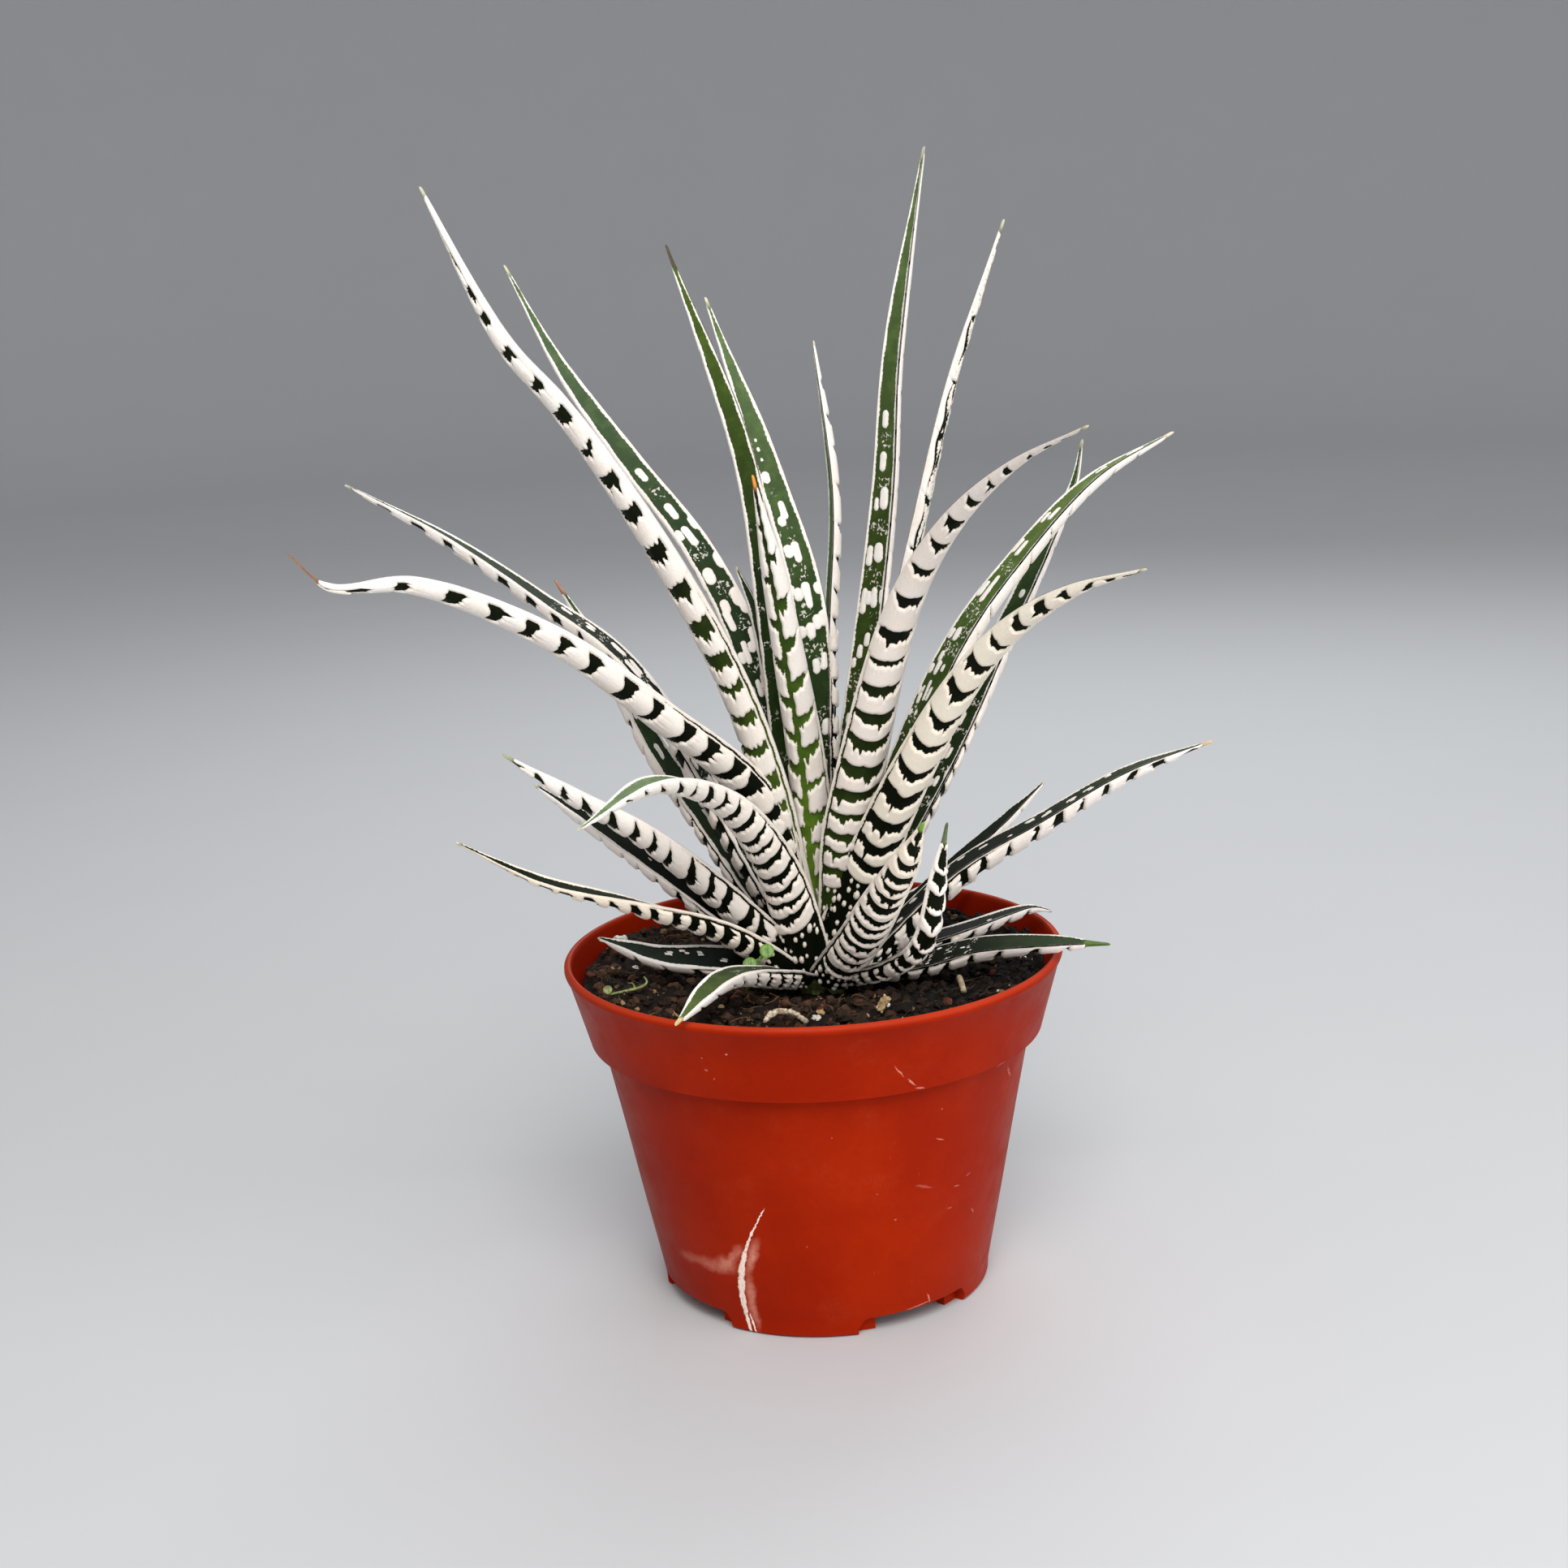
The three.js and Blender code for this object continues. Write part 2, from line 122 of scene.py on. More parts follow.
class Shader:
    # a material's nodes, added one after another
    def __init__(self, name):
        self.material = bpy.data.materials.new(name)
        self.material.use_nodes = True
        self.tree = self.material.node_tree
        self.tree.nodes.clear()
        self.skin = self.node("BsdfPrincipled")
        self.node("OutputMaterial", {0: self.skin.outputs[0]})
        self.place = self.node("TexCoord").outputs["Object"]

    def fill(self, node, values):
        # each input gets a value or another node's output
        for key, value in values.items():
            if hasattr(value, "is_linked"):
                self.tree.links.new(value, node.inputs[key])
            else:
                node.inputs[key].default_value = value
        return node

    def node(self, kind, values={}, **settings):
        node = self.tree.nodes.new("ShaderNode" + kind)
        for setting, value in settings.items():
            setattr(node, setting, value)
        return self.fill(node, values)

    def finish(self, values):
        self.fill(self.skin, values)
        return self.material

    def math(self, kind, first, second=0.0, third=0.0):
        return self.node("Math", {0: first, 1: second, 2: third}, operation=kind).outputs[0]

    def times(self, first, second):
        return self.math("MULTIPLY", first, second)

    def ramp(self, value, low, high, toLow=0.0, toHigh=1.0):
        ends = {0: value, 1: low, 2: high, 3: toLow, 4: toHigh}
        return self.node("MapRange", ends, interpolation_type="SMOOTHSTEP").outputs[0]

    def mix(self, share, first, second, kind="MIX"):
        return self.node("Mix", {0: share, 6: first, 7: second}, data_type="RGBA", blend_type=kind).outputs[2]

    def where(self, size, place):
        # size is how far apart a pattern's lumps are, in millimetres
        return {"Vector": place or self.place, "Scale": 1 / (size * (1 if place else mm))}

    def noise(self, size, detail=2.0, rough=0.5, place=None, twist=0.0, output="Fac"):
        kind = {"Detail": detail, "Roughness": rough, "Distortion": twist}
        return self.node("TexNoise", {**self.where(size, place), **kind}).outputs[output]

    def cells(self, size, place=None, kind="F1"):
        return self.node("TexVoronoi", self.where(size, place), feature=kind).outputs["Distance"]

    def carried(self, name, output="Fac"):
        return self.node("Attribute", attribute_name=name).outputs[output]

    def along(self, axis):
        return self.node("SeparateXYZ", {0: self.place}).outputs[axis]

    def bump(self, height, distance, strength=1.0, under=None):
        bumps = {"Height": height, "Distance": distance * mm, "Strength": strength}
        if under:
            bumps["Normal"] = under
        return self.node("Bump", bumps).outputs[0]

    def mark(self, place, size, turn, soft, wander, waves):
        # a spot or streak on the surface: 1 in its middle, 0 outside an egg of the given half sizes
        shift = {0: self.noise(waves, output="Color"), 1: (2 * wander * mm,) * 3, 2: (-wander * mm,) * 3}
        shifted = self.node("VectorMath", shift, operation="MULTIPLY_ADD").outputs[0]
        moved = self.node("VectorMath", {0: self.place, 1: shifted}, operation="ADD").outputs[0]
        place, size = ([v * mm for v in three] for three in (place, size))
        egg = {0: moved, 1: place, 2: (0, math.radians(turn), 0), 3: size}
        egg = self.node("Mapping", egg, vector_type="TEXTURE")
        out = self.node("VectorMath", {0: egg.outputs[0]}, operation="LENGTH").outputs["Value"]
        return self.ramp(out, 1.0, 1.0 - soft)


cameraView = {
    "lens": 55.9,
    "place": (0, -492.5, 226),
    "yaw": -0.506,
    "pitch": 13.42,
    "roll": -2.82,
    "sensor": 36,
}


def placeCamera():
    yaw, pitch, roll = (math.radians(cameraView[k]) for k in ("yaw", "pitch", "roll"))
    ahead = Vector((math.sin(yaw) * math.cos(pitch), math.cos(yaw) * math.cos(pitch), -math.sin(pitch)))
    level = Vector((math.cos(yaw), -math.sin(yaw), 0))
    upright = level.cross(ahead)
    right = math.cos(roll) * level + math.sin(roll) * upright
    top = math.cos(roll) * upright - math.sin(roll) * level
    turn = Matrix((right, top, -ahead)).transposed().to_4x4()
    bpy.ops.object.camera_add()
    camera = bpy.context.object
    camera.matrix_world = Matrix.Translation(Vector(cameraView["place"]) * mm) @ turn
    camera.data.lens = cameraView["lens"]
    camera.data.sensor_width = cameraView["sensor"]
    camera.data.clip_start = 0.01
    bpy.context.scene.camera = camera


lamps = {
    "key": {"place": (40, -700, 800), "size": 520, "watts": 8.3, "colour": (1.0, 0.98, 0.95)},
    "low": {"place": (60, -900, 110), "size": 500, "watts": 2.1, "colour": (1.0, 0.98, 0.96)},
    "fill": {"place": (640, -460, 330), "size": 700, "watts": 3.2, "colour": (0.95, 0.98, 1.0)},
    "back": {"place": (150, 600, 620), "size": 600, "watts": 2.5, "colour": (0.95, 0.98, 1.0)},
}
room = {
    "floorColour": (196, 197, 199),
    "airColour": (0.95, 0.97, 1.0),
    "airStrength": 0.45,
    "floorRadius": 1700,
    "wallRadius": 2300,
    "wallHeight": 1300,
    "lampAim": 110,         # the lamps point at this height on the pot's axis
}


def lightRoom():
    for name, lamp in lamps.items():
        bpy.ops.object.light_add(type="AREA", location=Vector(lamp["place"]) * mm)
        light = bpy.context.object
        light.name = name
        light.data.size = lamp["size"] * mm
        light.data.energy = lamp["watts"]
        light.data.color = lamp["colour"]
        aim = Vector((0, 0, room["lampAim"] * mm)) - light.location
        light.rotation_euler = aim.to_track_quat("-Z", "Y").to_euler()
    air = bpy.data.worlds.new("air")
    bpy.context.scene.world = air
    air.use_nodes = True
    sky = air.node_tree.nodes["Background"]
    sky.inputs[0].default_value = (*room["airColour"], 1)
    sky.inputs[1].default_value = room["airStrength"]
    # a round floor whose edge sweeps up into a wall, so that no horizon shows from any side
    bpy.ops.mesh.primitive_circle_add(vertices=96, radius=room["floorRadius"] * mm, fill_type="NGON")
    floor = nameIt(bpy.context.object, "floor")
    sweep = room["wallRadius"] - room["floorRadius"]
    turns = [math.radians(90 * n / 8) for n in range(9)]
    steps = [(room["floorRadius"] + sweep * math.sin(t), sweep * (1 - math.cos(t))) for t in turns]
    editAll()
    bpy.ops.mesh.region_to_loop()
    drawOut(steps + [(room["wallRadius"], room["wallHeight"])])
    bpy.ops.mesh.select_all(action="SELECT")
    bpy.ops.mesh.faces_shade_smooth()
    bpy.ops.object.mode_set(mode="OBJECT")
    paint = Shader("floorPaint")
    tone = linearColour(*room["floorColour"])
    darker = tuple(v * 0.97 for v in tone[:3]) + (1.0,)
    colour = paint.mix(paint.noise(60, 3), darker, tone)
    floor.data.materials.append(paint.finish({"Base Color": colour, "Roughness": 0.9}))
    bpy.context.scene.view_settings.view_transform = "Standard"


placeCamera()
lightRoom()
print("camera and light are set")


leafShape = {
    "rosetteX": 2.0,        # the plant stands a little right of the pot's axis
    "tipWidth": 1.2,        # width and thickness before the tip closes
    "tipThickness": 0.7,
    "thicknessPerWidth": 0.42,
    "crownPerWidth": 0.05,  # how much the upper face bulges
    "midribHeight": 0.42,   # how high the route runs in the leaf's thickness
    "footReach": 0.2,       # share of the length over which a narrow foot widens
    "underShare": 0.6,      # the share of the mesh's columns on the underside
    "roundTip": 0.9,        # the last stretch closes to a point over this length
    "fineTip": 0.42,        # and the leaf has this share of its width left there
    "twistStart": 0.3,      # the share of its length at which a leaf starts to twist
    "girthPerWidth": 2.35,  # for the number of the mesh's columns
    "fewestRows": 40,
    "dotCell": (1.7, 2.6),  # spacing of the small dots at the foot
    "topRise": 0.42,        # the upper face's marks are lower by this factor
    "topWhiter": (0.1, 0.14, 0.18),     # red, green and blue that its white gains
    "whitest": 0.94,
    "firstSeed": 700,
    "seedStep": 13,
}

# What a leaf looks like where its own row doesn't say otherwise, in millimetres, degrees and shares.
leafLook = {
    "foot": 1,              # share of the width at the foot
    "shoulder": 1.4,        # how far out the leaf keeps its width
    "taper": 0.7,           # and how slowly it then narrows
    "roll": 0,              # degrees about its own length
    "twist": 0,             # and how much more of it towards the tip
    "grain": 0.4,           # spacing of the mesh
    "pitch": (4.1, 6.4, 8.4),   # from one band to the next, at the foot, middle and tip
    "dark": (0.58, 0.3, 0.18),  # how much of it stays dark
    "sag": 0.42,            # how far a band hangs down at the keel, in half widths
    "point": 1.6,           # and how pointed it is there: 1 is a V
    "slant": 0.0,           # how much it rises from left to right
    "close": (1.9, 1.0, 0.68),  # where the dark closes towards the margins, in half widths
    "skew": (1.0, 1.0),     # and how much sooner or later on the left and on the right
    "groove": (-0.5, 0.14),     # what is left of it beyond that
    "ragged": 1.0,          # height of the lobes and cusps along its edge
    "drips": 0.0,           # how far narrow tongues of white hang down from the next band
    "corner": 1.3,          # the scales' corners are rounded by this much beside the margin's white strip
    "strip": 0.55,          # width of that strip
    "middle": 0.0,          # how far the pattern's middle lies from the keel, in half widths
    "split": 0.0,           # up to this share of the length the two sides are out of step
    "seams": 0,             # long thin dark lines along the leaf
    "dots": 0.1,            # the share of the leaf's length with dots instead of bands
    "keel": 0.0,            # half width of a dark line down the keel
    "rise": 0.62,           # height of the bands
    "sunk": 0.32,           # the skin between them lies this far inside the leaf's plain form
    "ground": ((8, 11, 4), (9, 13, 5), (17, 23, 10)),     # underside at foot, middle, tip
    "top": ((24, 36, 16), (34, 50, 24), (52, 74, 40)),      # upper face likewise
    "cream": ((232, 222, 214), (233, 225, 218), (238, 233, 229)),    # the raised bands and dots
    "tip": (186, 182, 160),     # the dried tip
    "tipShare": 0.014,      # and how much of the length it takes up
    "thread": 0.0,          # the last share of the length that has dried to a thread
    "pills": 1.0,           # how many white dots the upper face carries
    "pillSize": 1.0,
    "rowStep": 1.0,         # spacing of their rows
    "plain": 0.66,          # past this share of its length the upper face is bare
    "specks": 0.0,          # fine speckles between the rows of dots
    "placed": [],           # dots set one by one: distance from the foot, across, half width, half length
    "placedFrom": 1000,     # from this distance on there are no others
    "dust": [],             # patches of speckles set one by one: distance from the foot, across
    "margin": 0.5,          # width of the white line along the edge
}


def blade(azimuth, width, route, **look):
    return {**leafLook, **look, "azimuth": azimuth, "width": width, "route": route}


# Direction and width of each leaf, its way out and up from the middle, and what differs in its look.
leafRows = {
    # the young leaves in the middle
    "leaf_01": blade(252, 9, [[2, 80], [6, 114], [13, 135], [21, 156], [30, 176]], foot=0.6, keel=0.72,
        split=1.0, pitch=(5.6, 8, 13), dark=(0.42, 0.28, 0.13), dots=0.04, grain=0.26, ragged=1.5, drips=1.1,
        strip=0.5, close=(1.9, 1.15, 0.8), corner=1.8, ground=((84, 112, 32), (52, 74, 24), (15, 22, 9)),
        tip=(196, 128, 66), tipShare=0.03),
    "leaf_02": blade(14, 5.5, [[3, 83], [5, 138], [7, 168], [4, 199]], foot=0.7, top=((60, 92, 40),
        (58, 88, 46), (96, 118, 84)), grain=0.36, pills=0.3),
    "leaf_03": blade(142, 6, [[3, 82], [12, 140], [18, 153]], foot=0.5, roll=-60, top=((44, 66, 30),
        (34, 52, 28), (30, 44, 26)), pills=0, margin=0.15),
    # the tall leaves round them
    "leaf_04": blade(138, 9.3, [[3, 82], [0, 144], [8, 170], [24, 208]], foot=0.45, roll=-25, top=((14, 22, 10),
        (42, 60, 30), (82, 102, 66)), specks=1, pillSize=1.4, grain=0.3, placedFrom=44,
        placed=[(99, 0.7, 0.3, 0.4), (97, 0.8, 0.35, 0.5), (94.8, 0.8, 0.3, 0.4), (91, 1.2, 0.85, 1.3),
        (83.8, -0.1, 0.75, 2), (81.6, 0.9, 0.9, 1.1), (75.3, 1.6, 0.95, 1.4), (74.7, -0.1, 0.85, 2.2),
        (67.5, 3.2, 0.9, 1.2), (66.5, 1.8, 1, 1.4), (65.8, -0.2, 0.85, 2.7), (66.8, -2.7, 0.9, 1.2),
        (59, 2.4, 1.2, 1.3), (58.6, 0.2, 1, 1.7), (60.2, -1.4, 0.9, 1.5), (61, -2.8, 1, 1.6),
        (50.5, 2.6, 0.7, 1.4), (51.5, -0.4, 0.8, 1.6), (52.5, -2.2, 0.7, 1.8), (45.5, 2, 0.45, 0.55),
        (45, 0.9, 0.5, 0.6)], dust=[(88, 0.8), (78.8, 0.7), (70.8, 0.4), (62.6, 0.6), (55.2, 0.4),
        (54.6, -1.6)]),
    "leaf_05": blade(163, 6.5, [[4, 80], [8, 142], [12, 176], [26, 219]], foot=0.5, roll=-60, top=((40, 60, 24),
        (21, 33, 12), (62, 82, 28)), pills=0.12, pillSize=0.6, specks=0.35, margin=0.28, tip=(78, 70, 58),
        tipShare=0.035, grain=0.34),
    "leaf_06": blade(45, 8.5, [[4, 80], [17, 128], [25.5, 166], [29.5, 194], [41, 236]], foot=0.55,
        top=((38, 53, 18), (46, 62, 24), (84, 104, 64)), strip=1.6, dark=(0.3, 0.12, 0.06), specks=1,
        pillSize=1.1, grain=0.3, placedFrom=46, placed=[(103.8, 0.3, 0.85, 1.9), (94.9, 0.4, 0.9, 2.1),
        (87.3, -0.7, 1.15, 2.4), (86.1, 1.3, 0.6, 1.4), (75.2, 1.7, 0.85, 2.2), (76, -0.7, 1.25, 2.1),
        (65.6, 1.9, 0.8, 2.8), (66.4, 0.6, 0.85, 1.5), (66.6, -0.9, 0.9, 2.2), (66.6, -3.2, 0.9, 1.7),
        (57.6, -0.4, 0.8, 1.5), (55, 1.2, 0.8, 1.5), (52.4, 2.5, 0.65, 1.1), (49, -1, 0.5, 0.8)],
        dust=[(99.5, -0.2), (91, 0.1), (81, 0.6), (81, -0.9), (71, 0.4), (70, -1.6), (61.6, -1.4), (49.4, 0.6),
        (48, 2)]),
    "leaf_07": blade(335, 5.6, [[3, 80], [25.5, 162], [33.5, 190], [45, 221]], foot=0.55,
        dark=(0.3, 0.11, 0.06), pitch=(5, 11, 14), seams=24, grain=0.28),
    "leaf_08": blade(210, 9.3, [[3, 78], [16.5, 126.5], [29.8, 154.5], [45.5, 180.3], [53.5, 191.5], [63, 203],
        [77, 232]], foot=0.6, roll=10, pitch=(5.5, 9.4, 5), dark=(0.5, 0.34, 0.32), ragged=1.6, drips=1.0,
        point=1.2, sag=0.3, middle=0.15, strip=1.2, close=(1.9, 1.05, 0.6), skew=(0.9, 1.1),
        ground=((66, 88, 26), (13, 18, 8), (18, 24, 10)), grain=0.28),
    "leaf_09": blade(306, 12.5, [[5, 76], [16, 110], [33, 149], [47.5, 166], [65.5, 178.2], [85, 186]],
        foot=0.6, shoulder=1.8, taper=1.35, pitch=(3.5, 7.4, 4.6), dark=(0.54, 0.34, 0.36), slant=0.24,
        sag=(0.2, 0.36, 0.3), ragged=1.8, cream=((220, 210, 203), (218, 209, 202), (222, 214, 208)),
        skew=(1.1, 0.72), middle=-0.08, ground=((42, 58, 18), (12, 16, 8), (14, 18, 8)), grain=0.28),
    "leaf_10": blade(150, 9, [[5, 77], [14, 132], [25, 155], [41, 174], [57, 194], [70, 216]], foot=0.5,
        taper=0.8, roll=-30, top=((14, 22, 12), (36, 51, 31), (78, 98, 68)), specks=1, pillSize=1.15, grain=0.3,
        placedFrom=44, placed=[(102.6, 0, 0.85, 1.8), (92.3, 0, 0.9, 2.1), (87.2, 2, 0.75, 1.3),
        (86, 0.1, 0.9, 2.5), (88, -2.9, 1.3, 1.8), (79, -3.1, 1.4, 2), (76.5, 1.2, 1.3, 1.9),
        (70.6, -2.4, 1.4, 2.1), (69, -3.2, 1.3, 2.4), (69.4, 1.2, 1.1, 1.6), (66.3, 1.6, 0.85, 2.4),
        (61.4, -2.4, 1.2, 2.6), (59.2, 0.7, 0.7, 2.5), (58.2, 2.1, 0.8, 1.3), (60, -0.9, 0.8, 1.2),
        (52.3, -1.2, 0.7, 1.9), (51.4, 0.3, 0.6, 1.9), (53.6, -2.6, 0.6, 2), (50.8, 2, 0.6, 1.4)],
        dust=[(97.5, -0.2), (82.4, 0), (81.8, 0.9), (73, -0.6), (65.4, -1.2), (56, -0.4)]),
    # the long arching leaves of the middle ring
    "leaf_11": blade(204, 11, [[4, 75], [14, 107], [34, 127], [56, 145.5], [82, 158.5], [98, 160], [105, 167]],
        foot=0.6, roll=22, pitch=(5, 7.8, 9.5), dark=(0.42, 0.27, 0.2), middle=0.25, corner=2.8, ragged=1.2,
        strip=1.1, close=(1.7, 0.9, 0.6), slant=-0.12, thread=0.055, tip=(138, 92, 62), tipShare=0.055,
        grain=0.28),
    "leaf_12": blade(26, 11, [[6, 74], [34, 130], [51, 149], [70, 164.5], [91, 173.5]], foot=0.8,
        top=((12, 19, 9), (56, 76, 32), (100, 122, 64)), dark=(0.3, 0.15, 0.1), specks=1.3, grain=0.3,
        tip=(222, 206, 190), tipShare=0.02, placedFrom=46, placed=[(125, 0.1, 0.4, 2.4), (116, 0.5, 0.35, 1.6),
        (101.3, -0.2, 0.7, 1.9), (99.8, 1.5, 0.6, 1.6), (91.5, 2.6, 0.65, 2), (91.1, 0.7, 0.75, 2.2),
        (79.6, 2.6, 0.85, 2.1), (79.9, 0.4, 0.8, 3.6), (67.7, 2.9, 0.85, 1.3), (68, 0.7, 1, 1.7),
        (62.6, 1.9, 0.8, 1.3), (59.5, 3.3, 0.95, 1.2), (59.8, 1.1, 0.8, 1.7), (60.2, -1, 0.6, 0.9),
        (54.4, 3.7, 0.5, 1), (54.9, 2.6, 0.45, 0.8), (52.6, 2.7, 0.7, 1.3), (54.6, 1, 0.5, 2.4),
        (54, -0.3, 0.5, 1.6), (49.2, 3.6, 0.6, 0.8), (49.4, 1.6, 0.5, 0.7)], dust=[(96, 0.8), (86, 1),
        (85.4, -0.8), (74.6, 2), (73.8, 0.4), (73, -1.2), (69, -1.4), (64.8, 1.4), (64.4, 0), (64.6, -1.8),
        (49, 2.4)]),
    "leaf_13": blade(316, 12, [[6, 73], [22, 104.5], [41, 132.5], [53.3, 144.8], [68.5, 153.8], [85, 159]],
        taper=0.9, roll=-20, pitch=(4.2, 7.8, 4.8), sag=(0.2, 0.6, 0.5), point=1.2, middle=-0.2,
        close=(1.9, 1.2, 1), dots=0.16, grain=0.28, ragged=1.8, dark=(0.55, 0.34, 0.38), slant=0.1,
        cream=((228, 219, 206), (224, 215, 199), (228, 220, 206))),
    "leaf_14": blade(175, 9.5, [[6, 73], [38, 133.5], [55, 148], [74, 162], [94, 174]], foot=0.7, roll=-12,
        twist=12, grain=0.32, top=((10, 16, 8), (15, 23, 11), (44, 60, 38)), pillSize=1.25, rowStep=0.75,
        specks=0.6, pitch=(5, 6.6, 8), dark=(0.56, 0.46, 0.42), close=(1.9, 1.5, 1.4), ragged=1.4),
    "leaf_15": blade(38, 9.5, [[7, 72], [40, 110], [54, 129.5], [68.5, 149.5], [77, 162], [80, 172]], foot=0.7,
        top=((22, 32, 16), (30, 44, 20), (60, 82, 46)), specks=0.6, grain=0.34, placedFrom=60,
        placed=[(86.5, -0.3, 0.8, 1.1), (79.3, 0.4, 1.1, 1.4)]),
    "leaf_16": blade(162, 9, [[7, 71], [24.5, 97.5], [35.5, 114], [45, 133], [55.5, 151]], foot=0.8, roll=-10,
        tip=(160, 120, 100), tipShare=0.04, top=((26, 38, 20), (30, 44, 24), (56, 76, 44)), grain=0.34),
    # the short outer leaves, down to those that droop over the rim
    "leaf_17": blade(236, 11.5, [[7, 71], [16, 93], [32, 111], [54, 120], [78, 117]], shoulder=1.5, taper=0.85,
        pitch=(3.6, 4.6, 6), dark=(0.54, 0.42, 0.3), close=(1.7, 1.3, 0.8), sag=0.24, slant=0.24, grain=0.28,
        ragged=1.5, cream=((238, 228, 218), (240, 231, 222), (240, 236, 232)), top=((60, 84, 50), (84, 108, 74),
        (104, 124, 90)), pillSize=0.6),
    "leaf_18": blade(202, 11, [[7, 70], [27, 92], [39, 103], [53, 113], [66, 123]], roll=15,
        pitch=(4.4, 5.4, 6), dark=(0.5, 0.4, 0.36), ragged=1.5, close=(1.9, 1.2, 1), grain=0.28,
        top=((8, 12, 6), (12, 18, 9), (22, 32, 17)), pills=0.4, pillSize=0.5, tip=(150, 160, 120),
        tipShare=0.03),
    "leaf_19": blade(290, 11, [[8, 68], [26, 82], [37, 92], [48, 102], [58, 113]], shoulder=2,
        pitch=(3.6, 4.4, 4.8), dark=(0.62, 0.6, 0.54), close=(1.9, 1.5, 1.1), ragged=1.7,
        cream=((246, 236, 228), (244, 234, 223), (238, 224, 204)), tip=(122, 160, 70), tipShare=0.04,
        grain=0.28),
    "leaf_20": blade(355, 10.5, [[9, 68], [30, 88], [47, 98], [64, 108], [82, 115]], roll=2, top=((8, 12, 6),
        (15, 22, 11), (44, 62, 34)), pillSize=0.6, rowStep=0.6, plain=0.8, margin=0.3, tip=(198, 170, 140),
        tipShare=0.03, grain=0.28, dark=(0.48, 0.38, 0.32), pitch=(4.2, 5.8, 7), corner=3, strip=0.25,
        close=(1.9, 1.5, 1.2)),
    "leaf_21": blade(189, 9.5, [[7, 68], [29, 88], [44, 101], [58, 113]], roll=-25, top=((8, 12, 6),
        (10, 15, 8), (16, 24, 13)), pills=0.35, pillSize=0.5, pitch=(4, 5, 6), dark=(0.55, 0.5, 0.45),
        ragged=1.5),
    "leaf_22": blade(20, 7, [[9, 69], [33, 87], [43, 94], [53, 102]], top=((10, 15, 8), (13, 20, 11),
        (22, 32, 19)), margin=0.12, pills=0.1, pillSize=0.5),
    "leaf_23": blade(211, 9.5, [[8, 68], [23, 80], [43, 89.6], [63, 98.4], [81, 110]], taper=1.35, roll=10,
        twist=-50, top=((20, 30, 16), (15, 24, 12), (14, 22, 11)), pitch=(3.8, 5, 5.8), dark=(0.56, 0.54, 0.5),
        ragged=1.5, close=(1.9, 1.5, 1.4), cream=((240, 230, 218), (238, 226, 208), (236, 222, 202)), pills=0.2,
        pillSize=0.5, grain=0.3),
    "leaf_24": blade(305, 7.5, [[9, 68], [25, 74], [36, 82], [41, 96], [44, 108]], dark=(0.5, 0.66, 0.75),
        close=(1.9, 1.8, 1.5), pitch=(3.4, 4.4, 5.4), ragged=1.3, tip=(92, 104, 76), tipShare=0.08, grain=0.3),
    "leaf_25": blade(196, 9, [[9, 68], [23, 72], [36, 75], [48, 81]], roll=-25, top=((10, 15, 10), (14, 22, 15),
        (26, 38, 26)), pillSize=0.5, pills=0.9, rowStep=0.5, grain=0.34),
    "leaf_26": blade(240, 9, [[9, 68], [20, 72], [39, 77], [58, 74]], foot=0.7, top=((26, 38, 22), (44, 60, 34),
        (84, 98, 54)), pills=0, specks=0.5, tip=(206, 186, 140), dark=(0.5, 0.36, 0.12), pitch=(3.4, 4.6, 7),
        drips=0.9, slant=0.3, tipShare=0.05, grain=0.3, dust=[(26, 0), (36, 0.4), (44, 0)]),
    "leaf_27": blade(340, 9, [[9, 68], [22, 70], [35, 74], [49, 76], [62, 77]], roll=12, top=((8, 12, 7),
        (16, 24, 13), (44, 62, 32)), margin=0.16, tip=(84, 106, 54), tipShare=0.1, pillSize=0.5, pills=0.8,
        rowStep=0.6, plain=0.5, specks=1, grain=0.3),
    "leaf_28": blade(8, 8, [[10, 68], [31, 73], [41, 76], [46, 77], [50, 76]], top=((7, 10, 6), (9, 14, 8),
        (18, 26, 16)), pillSize=0.55, pills=0.8, rowStep=0.6, ragged=1.6, dark=(0.5, 0.45, 0.4),
        pitch=(4, 4.5, 5), grain=0.32),
    # the back
    "leaf_29": blade(88, 10, [[5, 76], [15, 92], [30, 104], [50, 108]], foot=0.8),
    "leaf_30": blade(116, 10.5, [[7, 71], [23, 85], [42, 94], [62, 95]]),
    "leaf_31": blade(64, 10.5, [[7, 71], [24, 83], [43, 90], [62, 89]]),
    "leaf_32": blade(137, 9.5, [[9, 69], [25, 77], [41, 82], [57, 84]], top=((26, 38, 20), (34, 50, 26),
        (50, 70, 40))),
    "leaf_33": blade(98, 9, [[9, 68], [24, 75], [40, 79], [56, 77]]),
    "leaf_34": blade(44, 8.5, [[9, 68], [24, 74], [38, 77], [49, 76]], top=((24, 36, 20), (32, 46, 26),
        (48, 66, 40))),
}


